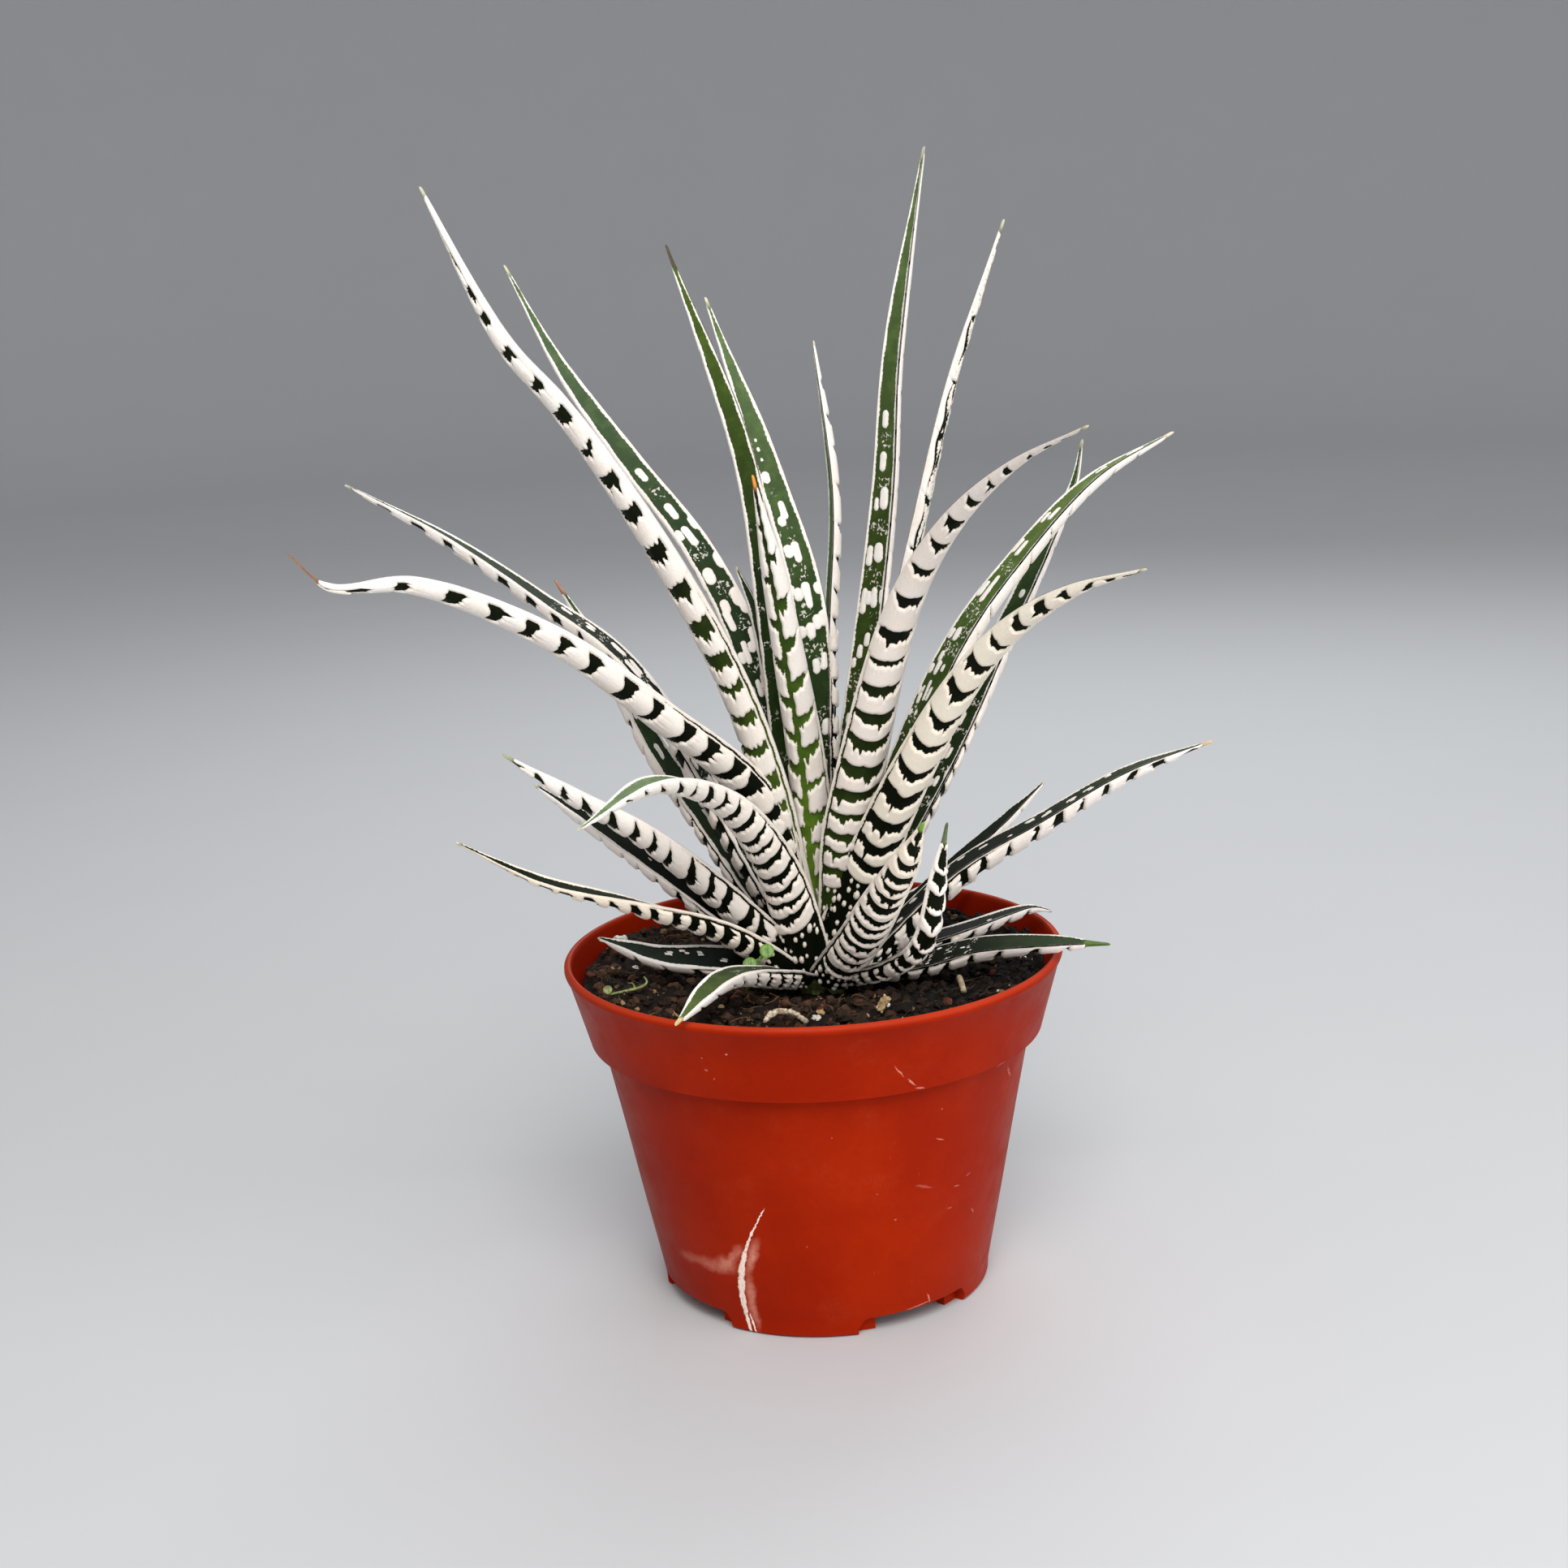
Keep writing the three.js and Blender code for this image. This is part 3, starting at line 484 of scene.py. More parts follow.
def smoothRoute(route, perStretch=60):
    # a curve through the points that leaves each of them without a corner
    points = [np.array(p, dtype=float) for p in route]
    points = [2 * points[0] - points[1]] + points + [2 * points[-1] - points[-2]]
    t = np.linspace(0, 1, perStretch, endpoint=False)[:, None]
    stretches = []
    for a, b, c, d in zip(points, points[1:], points[2:], points[3:]):
        first, middle, last = (math.sqrt(np.linalg.norm(q - p)) for p, q in ((a, b), (b, c), (c, d)))
        leave = ((b - a) / first - (c - a) / (first + middle) + (c - b) / middle) * middle
        arrive = ((c - b) / middle - (d - b) / (middle + last) + (d - c) / last) * middle
        stretches.append(b + leave * t + (3 * (c - b) - 2 * leave - arrive) * t ** 2
                         + (2 * (b - c) + leave + arrive) * t ** 3)
    stretches.append(points[-2][None, :])
    return np.concatenate(stretches)


def alongLeaf(look):
    # the leaf's length, and evenly spaced stations on its midrib with their side and upper directions
    curve = smoothRoute(look["route"])
    gone = np.concatenate([[0], np.cumsum(np.linalg.norm(np.diff(curve, axis=0), axis=1))])
    length = gone[-1]
    rows = max(leafShape["fewestRows"], int(length / look["grain"]))
    share = np.concatenate([[0], np.linspace(0, 1, rows)])
    slope = np.gradient(curve, gone, axis=0)
    out, up, slopeOut, slopeUp = (np.interp(share * length, gone, line) for line in (*curve.T, *slope.T))
    turn = math.radians(look["azimuth"])
    outwards = np.array([math.cos(turn), math.sin(turn), 0])
    sideways = np.array([-math.sin(turn), math.cos(turn), 0])
    upwards = np.array([0, 0, 1])
    middle = out[:, None] * outwards + up[:, None] * upwards + np.array([leafShape["rosetteX"], 0, 0])
    forward = slopeOut[:, None] * outwards + slopeUp[:, None] * upwards
    forward /= np.linalg.norm(forward, axis=1)[:, None]
    upper = np.cross(forward, sideways)
    roll = np.radians(look["roll"] + look["twist"] * smooth(leafShape["twistStart"], 1, share))[:, None]
    side = sideways * np.cos(roll) + upper * np.sin(roll)
    upper = upper * np.cos(roll) - sideways * np.sin(roll)
    return length, rows, share, middle, side, upper


# How far luck spreads each of these, in millimetres or as a factor.
bandLuck = {
    "pitch": (0.84, 1.16),
    "dark": (0.7, 1.3),
    "close": (0.8, 1.15),
    "lobeWidth": (0.4, 1.0),        # the lobes of a band's lower edge
    "lobeHeight": (0.25, 0.85),
    "dripWidth": (0.8, 1.7),
    "dripHeight": (0.2, 1.2),
    "crestWidth": (0.6, 1.9),       # those of its upper edge
    "crestHeight": (0.1, 0.5),
    "cuspWidth": (0.2, 0.5),        # and the sharp nicks in it
    "cuspDepth": (0.3, 1.0),
    "seamLength": (4, 13),
}
pillLuck = {
    "rowStep": (6.8, 9.6),
    "halfWidth": (0.6, 0.85),
    "apart": (-0.2, 0.4),
    "halfLength": (0.3, 1.7),
    "bulge": (0.7, 1.2),            # where the margin swells inwards
}


def threeStage(stages, share):
    return np.interp(share, (0, 0.5, 1), stages)


def times(span, factor):
    return [value * factor for value in span]


def lobes(across, draw, widths, heights):
    # a row of rounded lobes from one margin to the other, each with its own width and height
    widest = float(np.abs(across).max())
    row = np.zeros(across.shape)
    x = -widest - draw.uniform(0, widths[1])
    while x < widest:
        wide = draw.uniform(*widths)
        t = np.clip((across - x) / wide, 0, 1)
        row = np.maximum(row, draw.uniform(*heights) * (4 * t * (1 - t)) ** 0.6)
        x += wide
    return row


def filleted(first, second, radius):
    # the smaller of two distances, with the corner between them rounded off
    corner = radius - np.hypot(radius - first, radius - second)
    return np.where((first < radius) & (second < radius), corner, np.minimum(first, second))


def bandField(across, gone, half, length, look, draw):
    # How far inside a white scale each point lies, in millimetres, and below 0 in the dark between them.
    share = np.clip(gone / length, 0, 1)
    fromMiddle = across - look["middle"] * half
    sag = threeStage(np.broadcast_to(look["sag"], 3), share)
    hang = sag * half * np.abs(fromMiddle / half) ** look["point"]
    along = gone - hang - look["slant"] * across
    starts = [look["dots"] * length]
    while starts[-1] < length * 1.02:
        at = min(starts[-1] / length, 1)
        starts.append(starts[-1] + float(threeStage(look["pitch"], at)) * draw.uniform(*bandLuck["pitch"]))
    widest = float(half.max())
    if look["split"]:
        outOfStep = 0.5 * threeStage(look["pitch"], share) * (fromMiddle < 0)
        along = along + outOfStep * (1 - smooth(look["split"] - 0.08, look["split"], share))
    lows = []
    for start in starts:
        deep = 1.1 - 0.5 * min(start / length, 1)
        row = lobes(across, draw, times(bandLuck["lobeWidth"], widest), times(bandLuck["lobeHeight"], deep))
        if look["drips"]:
            heights = times(bandLuck["dripHeight"], look["drips"])
            row = 0.4 * row + lobes(across, draw, bandLuck["dripWidth"], heights)
        lows.append(start - row + draw.uniform(-0.1, 0.1) * across)
    field = np.full(across.shape, -9.0)
    comb = np.zeros(across.shape)
    toSide = half - look["strip"] - np.abs(across)
    for k in range(len(starts) - 1):
        at = min(starts[k] / length, 1)
        pitch = starts[k + 1] - starts[k]
        broad = float(threeStage(look["dark"], at)) * draw.uniform(*bandLuck["dark"]) * pitch
        closeAt = float(threeStage(look["close"], at))
        left, right = (closeAt * skew * draw.uniform(*bandLuck["close"]) for skew in look["skew"])
        a = fromMiddle / half - draw.uniform(-0.14, 0.14)
        body = 1 - smooth(0.3, 1.0, np.abs(a) / np.where(a < 0, left, right))
        thin = draw.uniform(*look["groove"])
        crest = lobes(across, draw, bandLuck["crestWidth"], bandLuck["crestHeight"]) * look["ragged"]
        cusps = np.zeros(across.shape)
        for n in range(draw.randint(1, 5)):
            x = draw.uniform(-0.7, 0.7) * widest
            wide = draw.uniform(*bandLuck["cuspWidth"])
            deep = draw.uniform(*bandLuck["cuspDepth"]) * min(1.5, 0.32 * pitch) * look["ragged"]
            cusps = np.maximum(cusps, deep * np.clip(1 - np.abs(across - x) / wide, 0, 1) ** 0.8)
        high = lows[k + 1] - broad * body - thin * (1 - body) + (crest - cusps) * (0.15 + 0.85 * body)
        scale = np.minimum(along - lows[k], high - along)
        scale = filleted(scale, toSide + 4 * (1 - body), look["corner"])
        field = np.maximum(field, scale)
        near = (along > lows[k] + 0.3 * pitch) & (along < high + 0.1)
        rib = np.exp(-(crest / 0.1) ** 2) * smooth(-0.7 * pitch, 0, along - high)
        comb = np.where(near, np.maximum(comb, rib), comb)
    field = np.maximum(field, 0.1 - toSide)
    # small dots in rows where the bands give out near the foot
    cellWide, cellLong = leafShape["dotCell"]
    for shiftRow in (0, 1):
        for shiftColumn in (0, 1):
            rowNumber = np.floor(along / cellLong) + shiftRow
            columnNumber = np.floor(across / cellWide) + shiftColumn
            mixed = np.sin(rowNumber * 12.9898 + columnNumber * 78.233) * 43758.5453
            luck = mixed - np.floor(mixed)
            luck2 = (luck * 7.31) % 1
            middleX = (columnNumber + 0.3 * (luck - 0.5)) * cellWide
            middleS = (rowNumber + 0.5 * (luck2 - 0.5)) * cellLong
            radius = 0.3 + 0.38 * luck
            dot = radius - np.hypot(across - middleX, (along - middleS) * 0.62)
            dot = np.where(luck2 < 0.2, -1, dot)
            inFoot = along < starts[0] + 0.6
            field = np.where(inFoot, np.maximum(field, dot), field)
    if look["keel"]:
        keel = look["keel"] * (1.05 - 0.6 * share) + 0.1 * np.sin(gone * 1.7) + 0.06 * np.sin(gone * 0.61)
        if look["split"] < 1:
            keel = keel * (1 - smooth(look["split"] - 0.05, look["split"] + 0.02, share)) - 0.01
        field = np.minimum(field, np.abs(fromMiddle) - keel)
    for seam in range(look["seams"]):
        # a long thin dark line along the leaf
        x = draw.uniform(-0.6, 0.6) * widest
        s = draw.uniform(0.15, 0.9) * length
        long = draw.uniform(*bandLuck["seamLength"])
        wave = x * (1 - 0.5 * share) + 0.25 * np.sin(gone * 0.7 + seam)
        thinness = 0.32 * (1 - np.clip(np.abs(gone - s) / long, 0, 1) ** 2) - 0.04
        field = np.minimum(field, np.abs(across - wave) - thinness)
    return field, comb


def pillField(across, gone, half, length, look, draw):
    # The same for the upper face: a white margin, and rows of white pills that sometimes merge.
    share = np.clip(gone / length, 0, 1)
    teeth = 0.1 * np.abs(np.sin(gone * 2.6)) + 0.07 * np.sin(gone * 0.9 + 1)
    field = np.abs(across) - (half - np.minimum(look["margin"] * (1 + 0.3 * teeth), 0.25 * half) - teeth)
    speck = np.zeros(across.shape)
    at = look["dots"] * length * 0.5
    while at < min(look["plain"] * length, look["placedFrom"]):
        step = draw.uniform(*pillLuck["rowStep"]) * look["rowStep"]
        room = max(0.5, np.interp(at, gone[:, 0], half[:, 0]) - look["margin"] - 0.3)
        fade = 1 - 0.2 * at / (look["plain"] * length)
        gone01 = at / (look["plain"] * length)
        wanted = 1 + (draw.uniform() < 1.0 - 0.7 * gone01) + (draw.uniform() < 0.8 - 1.2 * gone01)
        girths = []
        while len(girths) < wanted:
            wide = draw.uniform(*pillLuck["halfWidth"]) * look["pillSize"] * fade
            apart = draw.uniform(*pillLuck["apart"]) * look["pillSize"]
            if girths and sum(girths) + 2 * wide > 2.1 * room:
                break
            girths.append(2 * min(wide, 0.8 * room) + apart)
        x = -sum(girths) / 2 + draw.uniform(-0.5, 0.5) * max(0, 2 * room - sum(girths))
        for girth in girths:
            lucky = draw.uniform() <= look["pills"]
            wide = girth / 2 - 0.06 * look["pillSize"]
            stretch = draw.uniform(*pillLuck["halfLength"]) * look["pillSize"] * fade
            middle = x + girth / 2
            x += girth
            s = at + draw.uniform(-1.1, 1.1) * look["rowStep"]
            lean = draw.uniform(-0.1, 0.1)
            swell = draw.uniform(-0.2, 0.2)
            bend = draw.uniform(-0.08, 0.08)
            if not lucky:
                continue
            off = gone - s
            beyond = np.maximum(np.abs(off) - stretch, 0)
            round01 = wide * (1 + swell * np.clip(off / (stretch + wide), -1, 1))
            aside = across - middle - lean * off - bend * off ** 2
            field = np.maximum(field, round01 - np.hypot(aside, beyond))
        # here and there the margin swells inwards
        side = 1 if draw.uniform() < 0.5 else -1
        s = at + draw.uniform(-0.2, 0.8) * step
        bulge = draw.uniform(*pillLuck["bulge"]) * look["pillSize"]
        if draw.uniform() < 0.6 * look["pills"]:
            field = np.maximum(field, bulge - np.hypot(side * across - half, (gone - s) * 0.55))
        speck = np.maximum(speck, 1 - np.abs(gone - at - step * 0.5) / (step * 0.3))
        at += step
    for s, x, wide, long in look["placed"]:
        off = gone - s
        lean = draw.uniform(-0.06, 0.06)
        swell = wide * (1 + draw.uniform(-0.22, 0.22) * np.clip(off / long, -1, 1))
        beyond = np.maximum(np.abs(off) - (long - wide), 0)
        field = np.maximum(field, swell - np.hypot(across - x - lean * off, beyond))
    for s, x in look["dust"]:
        speck = np.maximum(speck, 1.5 * (1 - np.hypot((across - x) / 2.2, (gone - s) / 2.4)))
    speck = look["specks"] * np.clip(speck, 0, 1)
    speck = speck * (1 - smooth(look["plain"] - 0.1, look["plain"] + 0.06, share))
    return field, speck


def makeLeaf(name, look):
    draw = np.random.RandomState(leafShape["firstSeed"] + int(name[-2:]) * leafShape["seedStep"])
    length, rows, share, middle, side, upper = alongLeaf(look)
    columns = int(leafShape["girthPerWidth"] * look["width"] / look["grain"])
    full = np.maximum(1 - share ** look["shoulder"], 0) ** look["taper"]
    foot = look["foot"] + (1 - look["foot"]) * smooth(0, leafShape["footReach"], share)
    halfWidth = foot * (leafShape["tipWidth"] + (look["width"] - leafShape["tipWidth"]) * full) / 2
    halfWidth = halfWidth * (1 - (1 - leafShape["fineTip"]) * smooth(0.76, 1, share))
    thickness = leafShape["thicknessPerWidth"] * look["width"]
    depth = leafShape["tipThickness"] + (thickness - leafShape["tipThickness"]) * full * foot
    depth = depth * (1 - 0.4 * smooth(0.8, 1, share))
    if look["thread"]:
        withered = 1 - 0.55 * smooth(1 - look["thread"] * 1.25, 1 - look["thread"] * 0.8, share)
        halfWidth, depth = halfWidth * withered, depth * withered
    crown = leafShape["crownPerWidth"] * look["width"] * full
    # the first ring is drawn in to a point inside the stem, and the last ones round off the tip
    size = np.sqrt(np.clip(1 - np.clip(1 - (1 - share) * length / leafShape["roundTip"], 0, 1) ** 2, 0, 1))
    size[[0, -1]] = 0

    bpy.ops.mesh.primitive_grid_add(x_subdivisions=columns, y_subdivisions=rows, size=1)
    piece = nameIt(bpy.context.object, "leafBlade_" + name[-2:])
    flat = readVertices(piece)
    column = np.rint((flat[:, 0] + 0.5) * columns).astype(int)
    station = np.clip(np.rint((flat[:, 1] + 0.5) * rows).astype(int), 0, rows)

    u = np.linspace(0, 1, columns + 1)
    isUnder = u <= leafShape["underShare"]
    swing = np.pi * np.clip(u / leafShape["underShare"], 0, 1)
    over = np.clip((u - leafShape["underShare"]) / (1 - leafShape["underShare"]), 0, 1)
    acrossShare = np.where(isUnder, -np.cos(swing), 1 - 2 * over)
    sine = np.where(isUnder, np.sin(swing), 0)
    hw, dp, cr = halfWidth[:, None], depth[:, None], crown[:, None]
    a = acrossShare[None, :]
    lift = np.where(isUnder[None, :], 0.12 * dp * (1 - sine) - dp * sine,
                    0.12 * dp + (cr - 0.12 * dp) * (1 - a ** 4))
    lift = lift + leafShape["midribHeight"] * dp
    # distances over the skin from the keel, or from the middle of the upper face
    ringX = a * hw
    stepAcross = np.hypot(np.diff(ringX, axis=1), np.diff(lift, axis=1))
    gone = np.concatenate([np.zeros((rows + 1, 1)), np.cumsum(stepAcross, axis=1)], axis=1)
    lastUnder = int(isUnder.sum()) - 1
    halfUnder = np.maximum(gone[:, lastUnder:lastUnder + 1] / 2, 0.3)
    acrossSkin = np.where(isUnder[None, :], gone - halfUnder, ringX)
    alongSkin = (share * length)[:, None] * np.ones_like(acrossSkin)

    field, comb, speck = (np.zeros_like(acrossSkin) for n in range(3))
    under, top = slice(0, lastUnder + 1), slice(lastUnder + 1, columns + 1)
    half = np.where(isUnder[None, :], halfUnder, hw)
    acrossUnder, alongUnder = acrossSkin[:, under], alongSkin[:, under]
    field[:, under], comb[:, under] = bandField(acrossUnder, alongUnder, half[:, under], length, look, draw)
    field[:, top], speck[:, top] = pillField(
        acrossSkin[:, top], alongSkin[:, top], half[:, top], length, look, draw)
    # a fine white line runs along the margin, and near the foot the bands stop short of it
    toEdge = halfUnder - np.abs(acrossUnder)
    wander = 0.07 * np.sin(alongUnder * 1.3 + 2 * np.sign(acrossUnder))
    short = (0.84 + wander) * (1 - smooth(0.32, 0.58, share))[:, None]
    field[:, under] = np.minimum(field[:, under], toEdge - short + 9 * (short < 0.3))
    field[:, under] = np.maximum(field[:, under], 0.4 + wander - toEdge)
    # a plain tip
    tipStart = 1 - look["tipShare"]
    bare = smooth(tipStart - 0.01, tipStart + 0.01, share)[:, None]
    field = field * (1 - bare) - bare * 0.5

    fade = np.minimum(1, 3 * full)[:, None]
    domed = np.sqrt(1 - (1 - np.clip(field / 0.75, 0, 1)) ** 2)
    rise = look["rise"] * fade * domed * (1 - 0.22 * np.clip(comb, 0, 1))
    rise[:, top] *= leafShape["topRise"]
    rise[:, under] -= look["sunk"] * fade
    normalX = np.where(isUnder[None, :], a / hw, 0)
    normalZ = np.where(isUnder[None, :], -sine / dp, 1.0)
    spread = np.hypot(normalX, normalZ) + 1e-9
    normalX, normalZ = normalX / spread, normalZ / spread
    sideShift = (ringX + normalX * rise) * size[:, None]
    upperShift = (lift + normalZ * rise) * size[:, None]
    places = middle[:, None] + sideShift[..., None] * side[:, None] + upperShift[..., None] * upper[:, None]
    writeVertices(piece, places[station, column] * mm)

    underness = np.where(isUnder, 1.0, 0.0)[None, :] * np.ones_like(field)
    ground = np.zeros(field.shape + (3,))
    cream = np.zeros(field.shape + (3,))
    for channel in range(3):
        low, high, white = (threeStage([linearColour(*c)[channel] for c in look[face]], share)[:, None]
                            for face in ("ground", "top", "cream"))
        whiter = 1 + (1 - underness) * leafShape["topWhiter"][channel]
        tip = linearColour(*look["tip"])[channel]
        body = underness * low + (1 - underness) * high
        ground[..., channel] = body * (1 - bare) + tip * bare
        cream[..., channel] = np.minimum(white * whiter, leafShape["whitest"])
    # the two faces lie far apart in the skin's own coordinates
    skinPlace = np.stack([acrossSkin, alongSkin, underness * 40], axis=-1)
    carried = {"white": field, "speck": speck, "skinPlace": skinPlace, "ground": ground, "cream": cream}
    for layerName, values in carried.items():
        putLayer(piece, layerName, values[station, column])
    mergeAndTurnOut(piece)
    bpy.ops.object.shade_smooth()
    return piece


def leafSkin():
    skin = Shader("leafSkin")
    where = skin.carried("skinPlace", "Vector")
    field = skin.carried("white")
    frayed = skin.math("MULTIPLY_ADD", skin.noise(0.5, 2, 0.6, where), 0.34, -0.17)
    mask = skin.ramp(skin.math("ADD", field, frayed), -0.05, 0.06)
    # fine speckles between the dots of the upper face
    worms = skin.ramp(skin.noise(0.7, 1, 0.4, where, 0.6), 0.55, 0.6)
    patch = skin.times(skin.carried("speck"), skin.ramp(skin.noise(2.6, 2, 0.5, where), 0.4, 0.52))
    specks = skin.times(worms, skin.ramp(patch, 0.12, 0.4, 0.0, 0.75))
    mask = skin.math("MAXIMUM", mask, specks)
    # greens with a faint grain along the leaf, and lighter cell dots
    green = skin.carried("ground", "Color")
    lighter = skin.mix(1.0, green, (2.3, 2.1, 1.7, 1.0), "MULTIPLY")
    blotch = skin.ramp(skin.noise(3.5, 4, 0.6, where), 0.4, 0.7, 0.0, 0.4)
    green = skin.mix(blotch, green, lighter)
    pores = skin.ramp(skin.cells(0.34, where), 0.1, 0.3, 0.3, 0.0)
    green = skin.mix(pores, green, lighter)
    # whites: warmer and duller in patches and along their edges
    white = skin.carried("cream", "Color")
    dull = skin.ramp(skin.noise(4.5, 4, 0.6, where), 0.42, 0.72, 0.0, 0.38)
    white = skin.mix(dull, white, linearColour(224, 206, 186))
    edge = skin.ramp(field, 0.0, 0.45, 0.42, 0.0)
    white = skin.mix(edge, white, linearColour(205, 196, 180))
    fine = skin.ramp(skin.noise(0.6, 3, 0.65, where), 0.35, 0.75, 0.16, 0.0)
    white = skin.mix(fine, white, linearColour(196, 184, 166))
    grain = skin.times(skin.noise(0.45, 3, 0.6, where), skin.ramp(mask, 0, 1, 0.5, 1.0))
    colour, rough = skin.mix(mask, green, white), skin.ramp(mask, 0, 1, 0.52, 0.5)
    return skin.finish({"Base Color": colour, "Roughness": rough, "Specular IOR Level": 0.05,
                        "Normal": skin.bump(grain, 0.12, 0.7)})


leafMaterial = leafSkin()
youngLeaves = ("leaf_01", "leaf_02", "leaf_03")
for leafName, leafRow in leafRows.items():
    leafSlot = "young_leaf" if leafName in youngLeaves else "leaf"
    finishPiece(makeLeaf(leafName, leafRow), leafMaterial, leafSlot, leafName)
print("leaves are made:", len(leafRows))


potShape = {
    "segments": 288,
    # outside from the foot up to the lip, and back down inside: radius and height
    "wall": [(34.0, 0.15), (34.2, 0.0), (34.9, 0.6), (35.1, 3.4), (35.3, 4.0), (38.7, 21.3), (42.0, 38.7),
             (45.3, 55.2), (45.5, 55.8), (45.9, 56.0), (47.5, 56.0), (47.9, 56.2), (48.05, 56.8), (50.0, 63.9),
             (51.95, 70.9), (52.3, 71.2), (52.5, 71.7), (52.48, 72.3), (52.2, 72.75), (51.7, 73.0),
             (51.2, 72.85), (50.95, 72.4), (50.85, 71.0), (48.85, 64.4), (46.8, 57.8), (46.3, 56.9),
             (44.6, 55.9), (44.2, 55.4), (39.2, 31.2), (34.1, 7.0), (33.5, 5.7), (32.1, 5.2), (12.0, 5.2)],
    # underside of the floor from the middle out to the feet
    "floor": [(10.6, 0.0), (11.0, 0.3), (12.3, 3.5), (12.8, 3.8),
              (29.2, 3.8), (29.8, 3.5), (30.5, 0.3), (30.8, 0.0)],
    "gapMiddle": -58,
    # each gap between the feet: degrees, inner and outer radius, bottom, top, how far its corners lean in
    "gaps": [(31, 30.0, 39.0, -1.0, 3.8, 1.2), (45, 32.6, 39.0, -1.0, 3.8, 2.2)],
    "drains": 8,
    "drainRadius": 3.0,
    "drainCircle": 21.0,
}


def lathe(name, profile, segments):
    # closed in the middle at both of its ends
    radius, height = profile[0]
    bpy.ops.mesh.primitive_circle_add(vertices=segments, radius=radius * mm, location=(0, 0, height * mm))
    piece = nameIt(bpy.context.object, name)
    bpy.ops.object.transform_apply(location=True)
    editAll()
    bpy.ops.mesh.extrude_region_move()
    bpy.ops.mesh.merge(type="CENTER")
    bpy.ops.mesh.select_all(action="SELECT")
    bpy.ops.mesh.region_to_loop()
    drawOut(profile)
    bpy.ops.mesh.extrude_edges_move()
    bpy.ops.mesh.merge(type="CENTER")
    bpy.ops.object.mode_set(mode="OBJECT")
    return piece


def cutWith(piece, cutter):
    onlyActive(piece)
    cut = piece.modifiers.new("cut", "BOOLEAN")
    cut.operation = "DIFFERENCE"
    cut.solver = "EXACT"
    cut.object = cutter
    bpy.ops.object.modifier_apply(modifier="cut")
    bpy.data.objects.remove(cutter)


def wedge(middle, span, inner, outer, low, high, corner):
    # a piece of a ring, with its two upper ends rounded over
    steps = 24
    bpy.ops.mesh.primitive_grid_add(x_subdivisions=steps, y_subdivisions=1, size=1)
    piece = bpy.context.object
    flat = readVertices(piece)
    turn = np.radians(middle + flat[:, 0] * span)
    radius = np.where(flat[:, 1] > 0, outer, inner)
    level = np.full(len(turn), low)
    writeVertices(piece, np.stack([radius * np.cos(turn), radius * np.sin(turn), level], 1) * mm)
    onlyActive(piece)
    editAll()
    bpy.ops.mesh.extrude_region_move(TRANSFORM_OT_translate={"value": (0, 0, (high - low) * mm)})
    bpy.ops.mesh.select_all(action="SELECT")
    bpy.ops.mesh.normals_make_consistent(inside=False)
    bpy.ops.object.mode_set(mode="OBJECT")
    places = readVertices(piece)
    angle = np.degrees(np.arctan2(places[:, 1], places[:, 0]))
    off = np.abs((angle - middle + 180) % 360 - 180) / (span / 2)
    # the upper corners lean in, so that the gap is narrower at its top
    lean = (places[:, 2] > (low + high) / 2 * mm) & (off > 0.85)
    places[lean, 2] -= corner * mm * np.clip((off[lean] - 0.85) / 0.15, 0, 1) ** 2
    writeVertices(piece, places)
    return piece


def makePot():
    pot = lathe("nurseryPot", potShape["floor"] + potShape["wall"], potShape["segments"])
    mergeAndTurnOut(pot, 10 * finest)
    for n in range(4):
        for gap in potShape["gaps"]:
            cutWith(pot, wedge(potShape["gapMiddle"] + 90 * n, *gap))
    for n in range(potShape["drains"]):
        turn = (n + 0.5) / potShape["drains"] * 2 * math.pi
        out = potShape["drainCircle"] * mm
        bpy.ops.mesh.primitive_cylinder_add(vertices=40, radius=potShape["drainRadius"] * mm, depth=8 * mm,
                                            location=(out * math.cos(turn), out * math.sin(turn), 4 * mm))
        cutWith(pot, bpy.context.object)
    mergeAndTurnOut(pot, 10 * finest)
    bpy.ops.object.shade_smooth_by_angle(angle=math.radians(35))
    return pot


